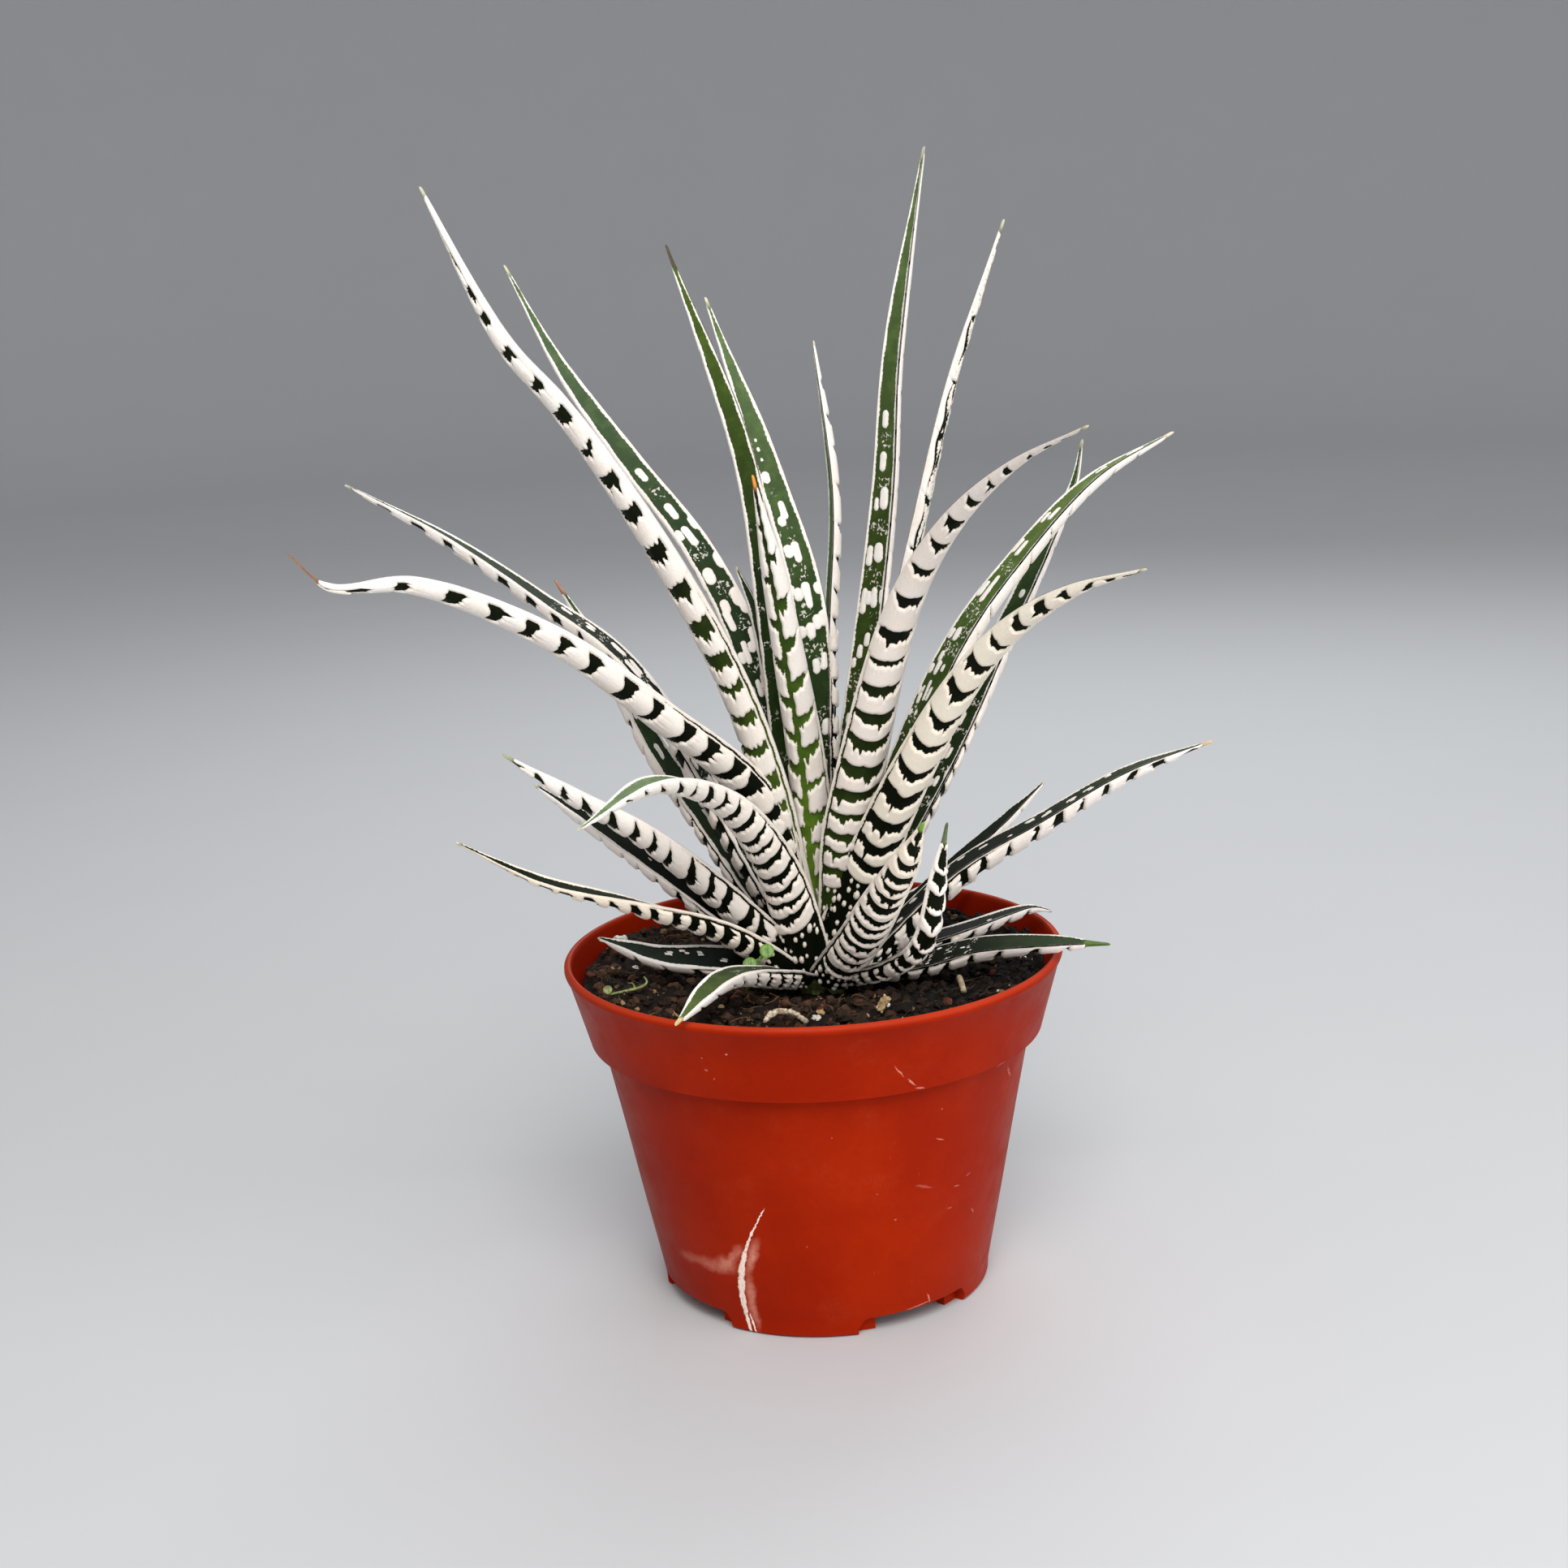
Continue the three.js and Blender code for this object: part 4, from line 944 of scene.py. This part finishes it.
# Marks on the plastic: place, half sizes and turn of each, and how strong it is.
potMarks = {
    # the bent place low on the front, where the plastic has gone white
    "crease": [
        ((-13.6, -37.6, 27.6), (0.2, 6, 4.0), 26), ((-15.0, -36.8, 24.4), (0.28, 6, 3.4), 23),
        ((-16.2, -36.0, 21.0), (0.4, 6, 3.2), 17), ((-17.0, -35.0, 17.8), (0.62, 6, 3.2), 12),
        ((-17.6, -34.0, 14.6), (0.85, 6, 3.2), 6), ((-17.8, -33.0, 11.4), (0.9, 6, 3.2), 1),
        ((-17.7, -32.0, 8.2), (0.75, 6, 3.0), -4), ((-17.3, -31.4, 5.2), (0.55, 6, 2.8), -8),
        ((-16.8, -30.8, 2.4), (0.42, 6, 2.6), -11), ((-15.8, -31.0, 2.2), (0.22, 6, 3.0), -14)],
    # the pale smears beside it
    "smears": [
        ((-15.2, -34.4, 18.6), (1.5, 8, 6.4), 14, 0.8), ((-16.0, -32.0, 9.6), (1.5, 8, 6.4), -1, 0.72),
        ((-15.3, -31.0, 4.4), (1.1, 8, 4.6), -12, 0.6), ((-18.8, -32.0, 18.4), (1.5, 8, 4.8), 34, 0.6),
        ((-20.6, -31.0, 15.6), (3.2, 8, 2.8), 14, 0.62), ((-24.0, -28.5, 14.6), (5.0, 8, 2.2), 6, 0.45),
        ((-28.6, -25.0, 14.6), (3.4, 8, 1.8), -10, 0.28)],
    # small scratches, specks and scuffs
    "nicks": [
        ((15.6, -46.4, 61.4), (0.2, 4, 2.2), -34, 0.5), ((18.0, -44.6, 58.4), (0.22, 4, 1.6), -40, 0.55),
        ((19.6, -43.6, 56.7), (1.3, 4, 0.24), 10, 0.5), ((23.6, -35.6, 42.6), (1.1, 4, 0.2), 28, 0.5),
        ((24.2, -35.2, 49.5), (0.28, 4, 0.3), 0, 0.4), ((39.2, -24.0, 50.0), (0.4, 5, 3.2), -14, 0.5),
        ((38.8, -27.0, 54.6), (3.4, 6, 0.35), -12, 0.4), ((20.5, -29.8, 5.2), (0.24, 5, 1.6), -10, 0.5),
        ((18.5, -31.0, 4.2), (3.6, 5, 0.24), -6, 0.4), ((-17.6, -47.7, 66.7), (0.4, 4, 0.25), 20, 0.6),
        ((-22.6, -45.2, 65.4), (0.3, 4, 0.2), -20, 0.4), ((-21.8, -45.4, 62.6), (0.5, 4, 0.3), 10, 0.3),
        ((-20.4, -46.2, 60.8), (0.2, 4, 0.5), 30, 0.3), ((27.0, -31.0, 30.0), (0.9, 5, 0.22), 8, 0.3),
        ((29.6, -28.6, 31.6), (0.7, 5, 0.2), -30, 0.3), ((25.4, -31.4, 25.4), (0.7, 5, 0.18), 0, 0.3),
        ((30.4, -25.6, 22.0), (0.3, 5, 1.0), -20, 0.25), ((20.0, -34.8, 32.6), (2.6, 5, 0.4), 26, 0.16),
        ((14.0, -36.8, 26.4), (0.25, 5, 0.25), 0, 0.35), ((10.6, -37.4, 33.0), (0.2, 5, 0.2), 0, 0.3),
        ((2.0, -44.0, 47.0), (0.2, 5, 0.2), 0, 0.25), ((-4.0, -37.0, 22.0), (0.2, 5, 0.3), 20, 0.25)],
}
# Tones of the plastic and its marks; the lip's tone is a painted highlight along the top of the rim.
potColours = {
    "deep": (144, 27, 1), "bright": (156, 34, 2), "mottled": (112, 20, 5), "lip": (196, 72, 44),
    "worn": (192, 92, 62), "smear": (222, 150, 128), "nick": (226, 160, 140), "crease": (248, 228, 214),
}


def potPlastic():
    plastic = Shader("potPlastic")
    tones = {name: linearColour(*tone) for name, tone in potColours.items()}
    cloudy = plastic.ramp(plastic.noise(26, 4, 0.55), 0.35, 0.7)
    colour = plastic.mix(cloudy, tones["deep"], tones["bright"])
    mottled = plastic.ramp(plastic.noise(1.4, 4, 0.6), 0.4, 0.75, 0.0, 0.14)
    colour = plastic.mix(mottled, colour, tones["mottled"])
    # painted highlight: the rounded top of the rim is lighter, as where light catches it
    colour = plastic.mix(plastic.ramp(plastic.along("Z"), 0.0718, 0.0728, 0.0, 0.36), colour, tones["lip"])
    # handling haze: faint lighter clouds and fine scratches all round
    haze = plastic.times(plastic.ramp(plastic.noise(11, 5, 0.65), 0.52, 0.78),
                         plastic.ramp(plastic.noise(0.5, 3, 0.6), 0.3, 0.7))
    colour = plastic.mix(plastic.times(haze, 0.12), colour, tones["worn"])
    drawn = plastic.node("Mapping", {0: plastic.place, 2: (0.5, 0.3, 0.9), 3: (1, 1, 0.09)}).outputs[0]
    scratches = plastic.times(plastic.ramp(plastic.noise(mm / 2.6, 1, place=drawn), 0.74, 0.8),
                              plastic.ramp(plastic.noise(16, 2), 0.5, 0.64))
    colour = plastic.mix(plastic.times(scratches, 0.4), colour, tones["worn"])
    crease = 0.0
    for place, size, turn in potMarks["crease"]:
        crease = plastic.math("MAXIMUM", crease, plastic.mark(place, size, turn, 0.35, 0.35, 0.8))
    crease = plastic.times(crease, plastic.ramp(plastic.noise(0.6, 3, 0.6), 0.25, 0.5, 0.6, 1.0))
    brushed = plastic.ramp(plastic.noise(0.7, 3, 0.7), 0.25, 0.75, 0.55, 1.0)
    for place, size, turn, amount in potMarks["smears"]:
        spot = plastic.times(plastic.mark(place, size, turn, 0.9, 0.8, 2.0), brushed)
        colour = plastic.mix(plastic.times(spot, amount), colour, tones["smear"])
    colour = plastic.mix(plastic.times(crease, 0.95), colour, tones["crease"])
    for place, size, turn, amount in potMarks["nicks"]:
        spot = plastic.mark(place, size, turn, 0.6, 0.3, 0.8)
        colour = plastic.mix(plastic.times(spot, amount), colour, tones["nick"])
    rough = plastic.ramp(plastic.noise(7, 4, 0.6), 0.3, 0.8, 0.36, 0.52)
    rough = plastic.math("ADD", rough, plastic.times(crease, 0.3))
    fine = plastic.bump(plastic.noise(0.35, 3, 0.6), 0.03, 0.6)
    waves = plastic.bump(plastic.noise(9, 2, 0.5), 0.5, 0.25, fine)
    return plastic.finish({"Base Color": colour, "Roughness": rough, "Specular IOR Level": 0.045,
                           "Normal": plastic.bump(crease, 0.25, 0.6, waves)})


finishPiece(makePot(), potPlastic(), "pot", "pot")
print("pot is made")


soilShape = {
    "wallHeight": 69.3,
    "craterDepth": 5.0,
    "craterReach": 28.0,
    "hollowDepth": 3.5,
    "hollowAt": (29, -5),
    "hollowReach": 20.0,
    "lump": 0.5,
    "spokes": 400,
    "rings": 120,
    "topRadius": 48.6,
    # radius and height up the inside of the pot
    "below": [(12.0, 5.5), (31.1, 5.5), (32.3, 7.3), (42.3, 55.1), (44.7, 58.1), (47.2, 66.0), (48.2, 67.6)],
}


def soilHeight(x, y):
    out = np.hypot(x - leafShape["rosetteX"], y)
    crater = soilShape["craterDepth"] * (1 - smooth(10, soilShape["craterReach"], out))
    hollowOut = np.hypot(x - soilShape["hollowAt"][0], y - soilShape["hollowAt"][1])
    hollow = soilShape["hollowDepth"] * (1 - smooth(0, soilShape["hollowReach"], hollowOut))
    lumps = np.sin(0.41 * x + 1.3) * np.cos(0.37 * y + 0.4) + 0.6 * np.sin(0.93 * x - 0.71 * y)
    return soilShape["wallHeight"] - crater - hollow + soilShape["lump"] * lumps


def soilGrain(x, y):
    # crumb of the surface, over and above its lumps
    rough = 1.3 * noise.fractal(Vector((x * 0.32, y * 0.32, 3)), 1.0, 2.0, 4)
    pits = 1.0 * noise.turbulence(Vector((x * 0.75, y * 0.75, 7)), 3, False)
    return rough + pits - 1.0


def makeSoil():
    top = soilShape["topRadius"]
    rim = [(top * (1 - n / (soilShape["rings"] + 1)), 68.0) for n in range(soilShape["rings"])]
    soil = lathe("pottingSoil", soilShape["below"] + rim, soilShape["spokes"])
    places = readVertices(soil) / mm
    surface = (np.hypot(places[:, 0], places[:, 1]) <= top + 0.01) & (places[:, 2] > 67.8)
    for index in np.nonzero(surface)[0]:
        x, y = places[index, 0], places[index, 1]
        places[index, 2] = soilHeight(x, y) + soilGrain(x, y)
    writeVertices(soil, places * mm)
    mergeAndTurnOut(soil)
    bpy.ops.object.shade_smooth()
    return soil


def earthy(name, dark, light, size, rough=0.9, bump=0.3, toned=False, paintedShade=0.0):
    # toned: each crumb is lighter or darker as a whole. The last argument is the strength of a painted shade
    # that darkens it towards the right, where the plant shades the soil.
    earth = Shader(name)
    share = earth.ramp(earth.noise(size, 5, 0.65), 0.32, 0.7)
    if toned:
        share = earth.math("MULTIPLY_ADD", share, 0.35, earth.times(earth.carried("tone"), 0.8))
    colour = earth.mix(share, linearColour(*dark), linearColour(*light))
    flecks = earth.ramp(earth.cells(size * 0.5), 0.05, 0.22, 0.35, 0.0)
    colour = earth.mix(flecks, colour, linearColour(*[min(255, v * 1.5 + 18) for v in light]))
    if paintedShade:
        # painted shade: from x = 2 mm to 24 mm the colour goes towards near black, standing in for the plant's
        # shadow on the soil
        colour = earth.mix(earth.ramp(earth.along("X"), 0.002, 0.024, 0.0, paintedShade), colour, linearColour(4, 2, 1))
    return earth.finish({"Base Color": colour, "Roughness": rough, "Specular IOR Level": 0.25,
                         "Normal": earth.bump(earth.noise(size * 0.35, 5, 0.7), bump, 0.9)})


# the soil's top darkens towards the right with painted shade, where the plant shades it
finishPiece(makeSoil(), earthy("peat", (7, 4, 2), (34, 22, 14), 1.6, paintedShade=0.7), "soil", "soil")

# size: across. squash: height for its width. lift: how far it stands out. slices: fineness of the mesh.
# the share after the two colours is a painted shade that darkens each kind towards the right, where the plant
# shades the soil; perlite has none
crumbKinds = {
    "peatCrumbs": {"count": 1300, "size": (0.7, 2.3), "squash": (0.6, 1.0), "lift": 0.5, "slices": 2,
                   "dark": (8, 5, 3), "light": (82, 56, 38), "paintedShade": 0.75, "seed": 11},
    "peatClods": {"count": 110, "size": (2.0, 3.6), "squash": (0.5, 0.9), "lift": 0.3, "slices": 3,
                  "dark": (8, 5, 3), "light": (60, 41, 27), "paintedShade": 0.75, "seed": 14},
    "redCrumbs": {"count": 34, "size": (0.9, 2.1), "squash": (0.6, 0.9), "lift": 0.5, "slices": 2,
                  "dark": (60, 28, 20), "light": (128, 74, 58), "paintedShade": 0.5, "seed": 15},
    "tanCrumbs": {"count": 170, "size": (0.6, 1.6), "squash": (0.6, 1.0), "lift": 0.5, "slices": 2,
                  "dark": (92, 66, 40), "light": (188, 154, 108), "paintedShade": 0.6, "seed": 12},
    "perlite": {"count": 20, "size": (0.6, 1.4), "squash": (0.7, 1.0), "lift": 0.4, "slices": 3,
                "dark": (190, 182, 172), "light": (238, 236, 230), "paintedShade": 0, "seed": 13,
                "set": [(-42.1, 20, 3.4), (-24.9, 5, 2.3), (0, -36, 1.5),
                        (9.4, -33.5, 0.9), (14.6, -28.8, 0.9)]},
    "grit": {"count": 420, "size": (0.22, 0.5), "squash": (0.7, 1.0), "lift": 1.0, "slices": 1,
             "dark": (92, 72, 52), "light": (214, 196, 168), "paintedShade": 0.6, "seed": 16},
}
litterReach = {"crumbs": 48.0, "edge": 49.2, "fibres": 46, "fibreEdge": 48.3}   # from the pot's axis


def onDisc(draw, nearest, reach):
    # a random place, as likely on one bit of the surface as on the next
    radius = math.sqrt(draw.uniform(nearest, 1)) * reach
    turn = draw.uniform(0, 2 * math.pi)
    return radius * math.cos(turn), radius * math.sin(turn), radius


def addPiece(name, shape):
    piece = bpy.data.objects.new(name, shape)
    bpy.context.collection.objects.link(piece)
    onlyActive(piece)
    return piece


def scatterCrumbs(name, kind):
    # one crumb is made, then each copy is turned, squashed and roughened in its own way
    draw = np.random.RandomState(kind["seed"])
    bpy.ops.mesh.primitive_ico_sphere_add(subdivisions=kind["slices"], radius=1)
    model = bpy.context.object
    ball = readVertices(model)
    faces = np.array([list(f.vertices) for f in model.data.polygons])
    bpy.data.objects.remove(model)
    allPlaces, allFaces, allTones = [], [], []
    setOut = kind.get("set", [])
    for n in range(kind["count"] + len(setOut)):
        x, y, radius = onDisc(draw, 0.03, litterReach["crumbs"])
        size = draw.uniform(*kind["size"]) / 2
        if n >= kind["count"]:
            x, y, size = setOut[n - kind["count"]]
            radius, size = math.hypot(x, y), size / 2
        knobs = [noise.noise(Vector(v) * 1.7 + Vector((n, 0, 0))) for v in ball]
        lumps = 1 + 0.6 * np.array(knobs)[:, None] + 0.1 * draw.uniform(-1, 1, len(ball))[:, None]
        stretch = np.array([draw.uniform(0.7, 1.3), draw.uniform(0.7, 1.3), draw.uniform(*kind["squash"])])
        spin = Matrix.Rotation(draw.uniform(0, 6.28), 3, "Z")
        spin = np.array(spin @ Matrix.Rotation(draw.uniform(-0.6, 0.6), 3, "X"))
        body = (ball * lumps * stretch * size) @ spin.T
        out = min(1.0, (litterReach["edge"] - size) / max(radius, 1e-6))
        x, y = x * out, y * out
        z = float(soilHeight(x, y)) + soilGrain(x, y) + kind["lift"] * size
        allFaces.append(faces + len(ball) * n)
        allPlaces.append(body + np.array([x, y, z]))
        allTones.append(np.full(len(ball), draw.uniform(0, 1) ** 1.7))
    mesh = bpy.data.meshes.new(name)
    mesh.from_pydata((np.concatenate(allPlaces) * mm).tolist(), [], np.concatenate(allFaces).tolist())
    piece = addPiece(name, mesh)
    bpy.ops.object.shade_smooth_by_angle(angle=math.radians(40))
    putLayer(piece, "tone", np.concatenate(allTones))
    grain = earthy(name + "Grain", kind["dark"], kind["light"], 0.9, 0.85, 0.12, True, kind["paintedShade"])
    finishPiece(piece, grain, "soil")


for crumbName, crumbKind in crumbKinds.items():
    scatterCrumbs(crumbName, crumbKind)

# Fine roots and fibres lie about on the soil. The larger bits are placed one by one.
fibreShape = {"count": 90, "thick": (0.08, 0.17), "long": (2.5, 6.5), "seed": 31}


def tubeThrough(name, strands, sides=6):
    # strands: lists of (x, y, z, radius)
    curve = bpy.data.curves.new(name, "CURVE")
    curve.dimensions = "3D"
    curve.bevel_depth = 1.0 * mm
    curve.bevel_resolution = sides
    curve.use_fill_caps = True
    for strand in strands:
        spline = curve.splines.new("BEZIER")
        spline.bezier_points.add(len(strand) - 1)
        for point, (x, y, z, radius) in zip(spline.bezier_points, strand):
            point.co = (x * mm, y * mm, z * mm)
            point.radius = radius
            point.handle_left_type = point.handle_right_type = "AUTO"
        spline.resolution_u = 5
    addPiece(name, curve)
    bpy.ops.object.convert(target="MESH")
    piece = nameIt(bpy.context.object, name)
    mergeAndTurnOut(piece)
    bpy.ops.object.shade_smooth()
    return piece


def ground(x, y, lift):
    return float(soilHeight(x, y)) + lift


def laid(points, radii):
    # points (x, y, lift) above the soil and their radii, as a strand
    return [(x, y, ground(x, y, lift), radius) for (x, y, lift), radius in zip(points, radii)]


def makeFibres():
    draw = np.random.RandomState(fibreShape["seed"])
    strands = []
    for n in range(fibreShape["count"]):
        x, y, _ = onDisc(draw, 0.1, litterReach["fibres"])
        heading = draw.uniform(0, 2 * math.pi)
        thick = draw.uniform(*fibreShape["thick"])
        strand = []
        for step in range(4):
            lift = 0.5 + draw.uniform(-0.3, 0.9)
            strand.append((x, y, ground(x, y, lift), thick))
            heading += draw.uniform(-0.7, 0.7)
            reach = draw.uniform(*fibreShape["long"]) / 3
            x, y = x + reach * math.cos(heading), y + reach * math.sin(heading)
            back = min(1, litterReach["fibreEdge"] / math.hypot(x, y))
            x, y = x * back, y * back
        strands.append(strand)
    return tubeThrough("peatFibres", strands, 0)


# the fibres too darken towards the right with painted shade
finishPiece(makeFibres(), earthy("fibre", (46, 32, 22), (104, 78, 54), 0.8, 0.85, 0.05, paintedShade=0.6), "soil")

rootShape = {
    "points": [(-10, -40, 1.0), (-8.5, -38, 2.2), (-5.5, -37.8, 2.4), (-1.7, -41, 1.0)],
    "radii": (0.42, 0.7, 0.56, 0.42),
    "twig": [(-8.5, -38, 2.3), (-9.2, -37.0, 1.6), (-10.2, -36.2, 0.6)],
    "twigRadii": (0.3, 0.22, 0.14),
    "knobs": 0.34,
}


def makeDryRoot():
    strand = laid(rootShape["points"], rootShape["radii"])
    root = tubeThrough("driedRoot", [strand, laid(rootShape["twig"], rootShape["twigRadii"])], 4)
    onlyActive(root)
    editAll()
    bpy.ops.mesh.subdivide(number_cuts=1)
    bpy.ops.object.mode_set(mode="OBJECT")
    places = readVertices(root) / mm
    for index, place in enumerate(places):
        places[index] += rootShape["knobs"] * np.array(noise.noise_vector(Vector(place) * 1.7))
    writeVertices(root, places * mm)
    return root


deadRoot = earthy("deadRoot", (140, 112, 80), (240, 228, 204), 0.7, 0.8, 0.35)
finishPiece(makeDryRoot(), deadRoot, "dry_root", "dry_root")

litter = {
    "stick": [(29.9, -12, 1.6), (29.7, -18, 1.5), (30, -25, 0.7)],
    "stickRadius": 0.62,
    "flakePlace": (13.8, -35, 1.6),
    "flakeSize": 3.4,
    "flakeThickness": 0.3,
}


def makeStick():
    return tubeThrough("paleStick", [laid(litter["stick"], 3 * [litter["stickRadius"]])], 4)


def makeFlake():
    # a curled flake of bark that stands on its edge
    size = litter["flakeSize"]
    bpy.ops.mesh.primitive_grid_add(x_subdivisions=22, y_subdivisions=22, size=size * mm)
    flake = nameIt(bpy.context.object, "barkFlake")
    places = readVertices(flake) / mm
    curl = places[:, 0] / size * 3.6
    torn = 1 + 0.35 * np.array([noise.noise(Vector((v[0] * 1.3, v[1] * 0.4, 5))) for v in places])
    reach = 0.27 * size * torn
    crumple = 0.3 * np.array([noise.noise(Vector(v) * 1.6) for v in places])
    reach = reach + crumple
    bent = np.stack([reach * np.sin(curl), reach * (1 - np.cos(curl)), places[:, 1] * torn], 1)
    turn = np.array(Matrix.Rotation(0.6, 3, "Y") @ Matrix.Rotation(2.4, 3, "Z"))
    x, y, lift = litter["flakePlace"]
    writeVertices(flake, (bent @ turn.T + np.array([x, y, ground(x, y, lift)])) * mm)
    onlyActive(flake)
    wall = flake.modifiers.new("wall", "SOLIDIFY")
    wall.thickness = litter["flakeThickness"] * mm
    bpy.ops.object.modifier_apply(modifier="wall")
    bpy.ops.object.shade_smooth()
    return flake


finishPiece(makeStick(), earthy("stickSkin", (128, 108, 84), (188, 170, 144), 0.8, 0.85, 0.08), "soil")
finishPiece(makeFlake(), earthy("flakeSkin", (134, 104, 66), (214, 190, 146), 1.0, 0.85, 0.12), "soil")

seedlingShape = {
    "foot": (-14, -13.5),
    "fork": (-11.7, -15, 74.4),
    "leaves": [(-9.4, -15.5, 77.2), (-13, -15.7, 74.6)],
    "leafRadius": 1.5,
    "leafTilt": 1.0,        # radians, towards the front
}
weedShape = {
    "stalk": [(-42.7, -17.5, 0.7), (-40.6, -17.6, 1.3), (-37.6, -16.2, 1.3), (-35.4, -15.4, 1.7),
              (-34.4, -14.8, 2.5), (-35.0, -14.4, 3.3)],
    "stalkRadii": (0.2, 0.26, 0.3, 0.32, 0.24, 0.18),
    "twig": [(-36.8, -16, 1.4), (-37.3, -15.2, 2.1), (-38.3, -14.6, 2.3)],
    "twigRadii": (0.22, 0.18, 0.12),
    "leaf": (-42.3, -17.6, 2.0),
    "leafRadius": 0.95,
    "leafTilt": 0.9,
}


def roundLeaf(place, radius, tilt):
    # a little round seed leaf: a flattened ball, dished, with a groove down its middle
    bpy.ops.mesh.primitive_uv_sphere_add(segments=40, ring_count=20, radius=radius * mm)
    leaf = bpy.context.object
    places = readVertices(leaf) / mm
    out = np.hypot(places[:, 0], places[:, 1])
    groove = 0.12 * np.exp(-(places[:, 0] / 0.25) ** 2)
    places[:, 2] = places[:, 2] * 0.24 + 0.06 * out ** 2 - groove * (places[:, 2] > 0)
    turn = np.array(Matrix.Rotation(tilt, 3, "X"))
    writeVertices(leaf, (places @ turn.T + np.array(place)) * mm)
    return leaf


def joinAs(name, parts):
    onlyActive(parts[0])
    for part in parts[1:]:
        part.select_set(True)
    bpy.ops.object.join()
    bpy.ops.object.shade_smooth()
    return nameIt(bpy.context.object, name)


def makeSeedling():
    footX, footY = seedlingShape["foot"]
    fork = seedlingShape["fork"]
    first, second = seedlingShape["leaves"]
    stalks = [[(footX, footY, ground(footX, footY, 0.6), 0.4), (*fork, 0.36), (*first, 0.28)],
              [(*fork, 0.34), (*second, 0.26)]]
    radius, tilt = seedlingShape["leafRadius"], seedlingShape["leafTilt"]
    leaves = [roundLeaf(place, radius, tilt) for place in seedlingShape["leaves"]]
    return joinAs("seedlingSprout", [tubeThrough("stalks", stalks, 3)] + leaves)


def makeWeed():
    # a thin weed that lies on the soil at the left
    strands = [laid(weedShape[part], weedShape[part + "Radii"]) for part in ("stalk", "twig")]
    x, y, lift = weedShape["leaf"]
    leaf = roundLeaf((x, y, ground(x, y, lift)), weedShape["leafRadius"], weedShape["leafTilt"])
    return joinAs("lyingWeed", [tubeThrough("weedStalks", strands, 3), leaf])


def softGreen(name, dark, light):
    soft = Shader(name)
    colour = soft.mix(soft.ramp(soft.noise(1.2, 4, 0.6), 0.3, 0.7), linearColour(*dark), linearColour(*light))
    veins = soft.ramp(soft.cells(0.5, kind="DISTANCE_TO_EDGE"), 0.0, 0.08, 0.25, 0.0)
    colour = soft.mix(veins, colour, linearColour(128, 160, 70))
    bumps = soft.bump(soft.noise(0.4, 3, 0.6), 0.06, 0.7)
    return soft.finish({"Base Color": colour, "Roughness": 0.42, "Normal": bumps})


sproutGreen = softGreen("sproutGreen", (66, 104, 24), (104, 146, 46))
finishPiece(makeSeedling(), sproutGreen, "seedling", "seedling")
finishPiece(makeWeed(), softGreen("weedGreen", (88, 96, 46), (146, 150, 92)), "seedling")

# the stem keeps its solid, hidden between the leaves' feet
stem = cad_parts["stem"]
stem.data.materials.clear()
stem.data.materials.append(earthy("stemSkin", (70, 76, 38), (128, 134, 76), 1.4, 0.6, 0.15))
print("soil, crumbs, root, seedling and stem are made")
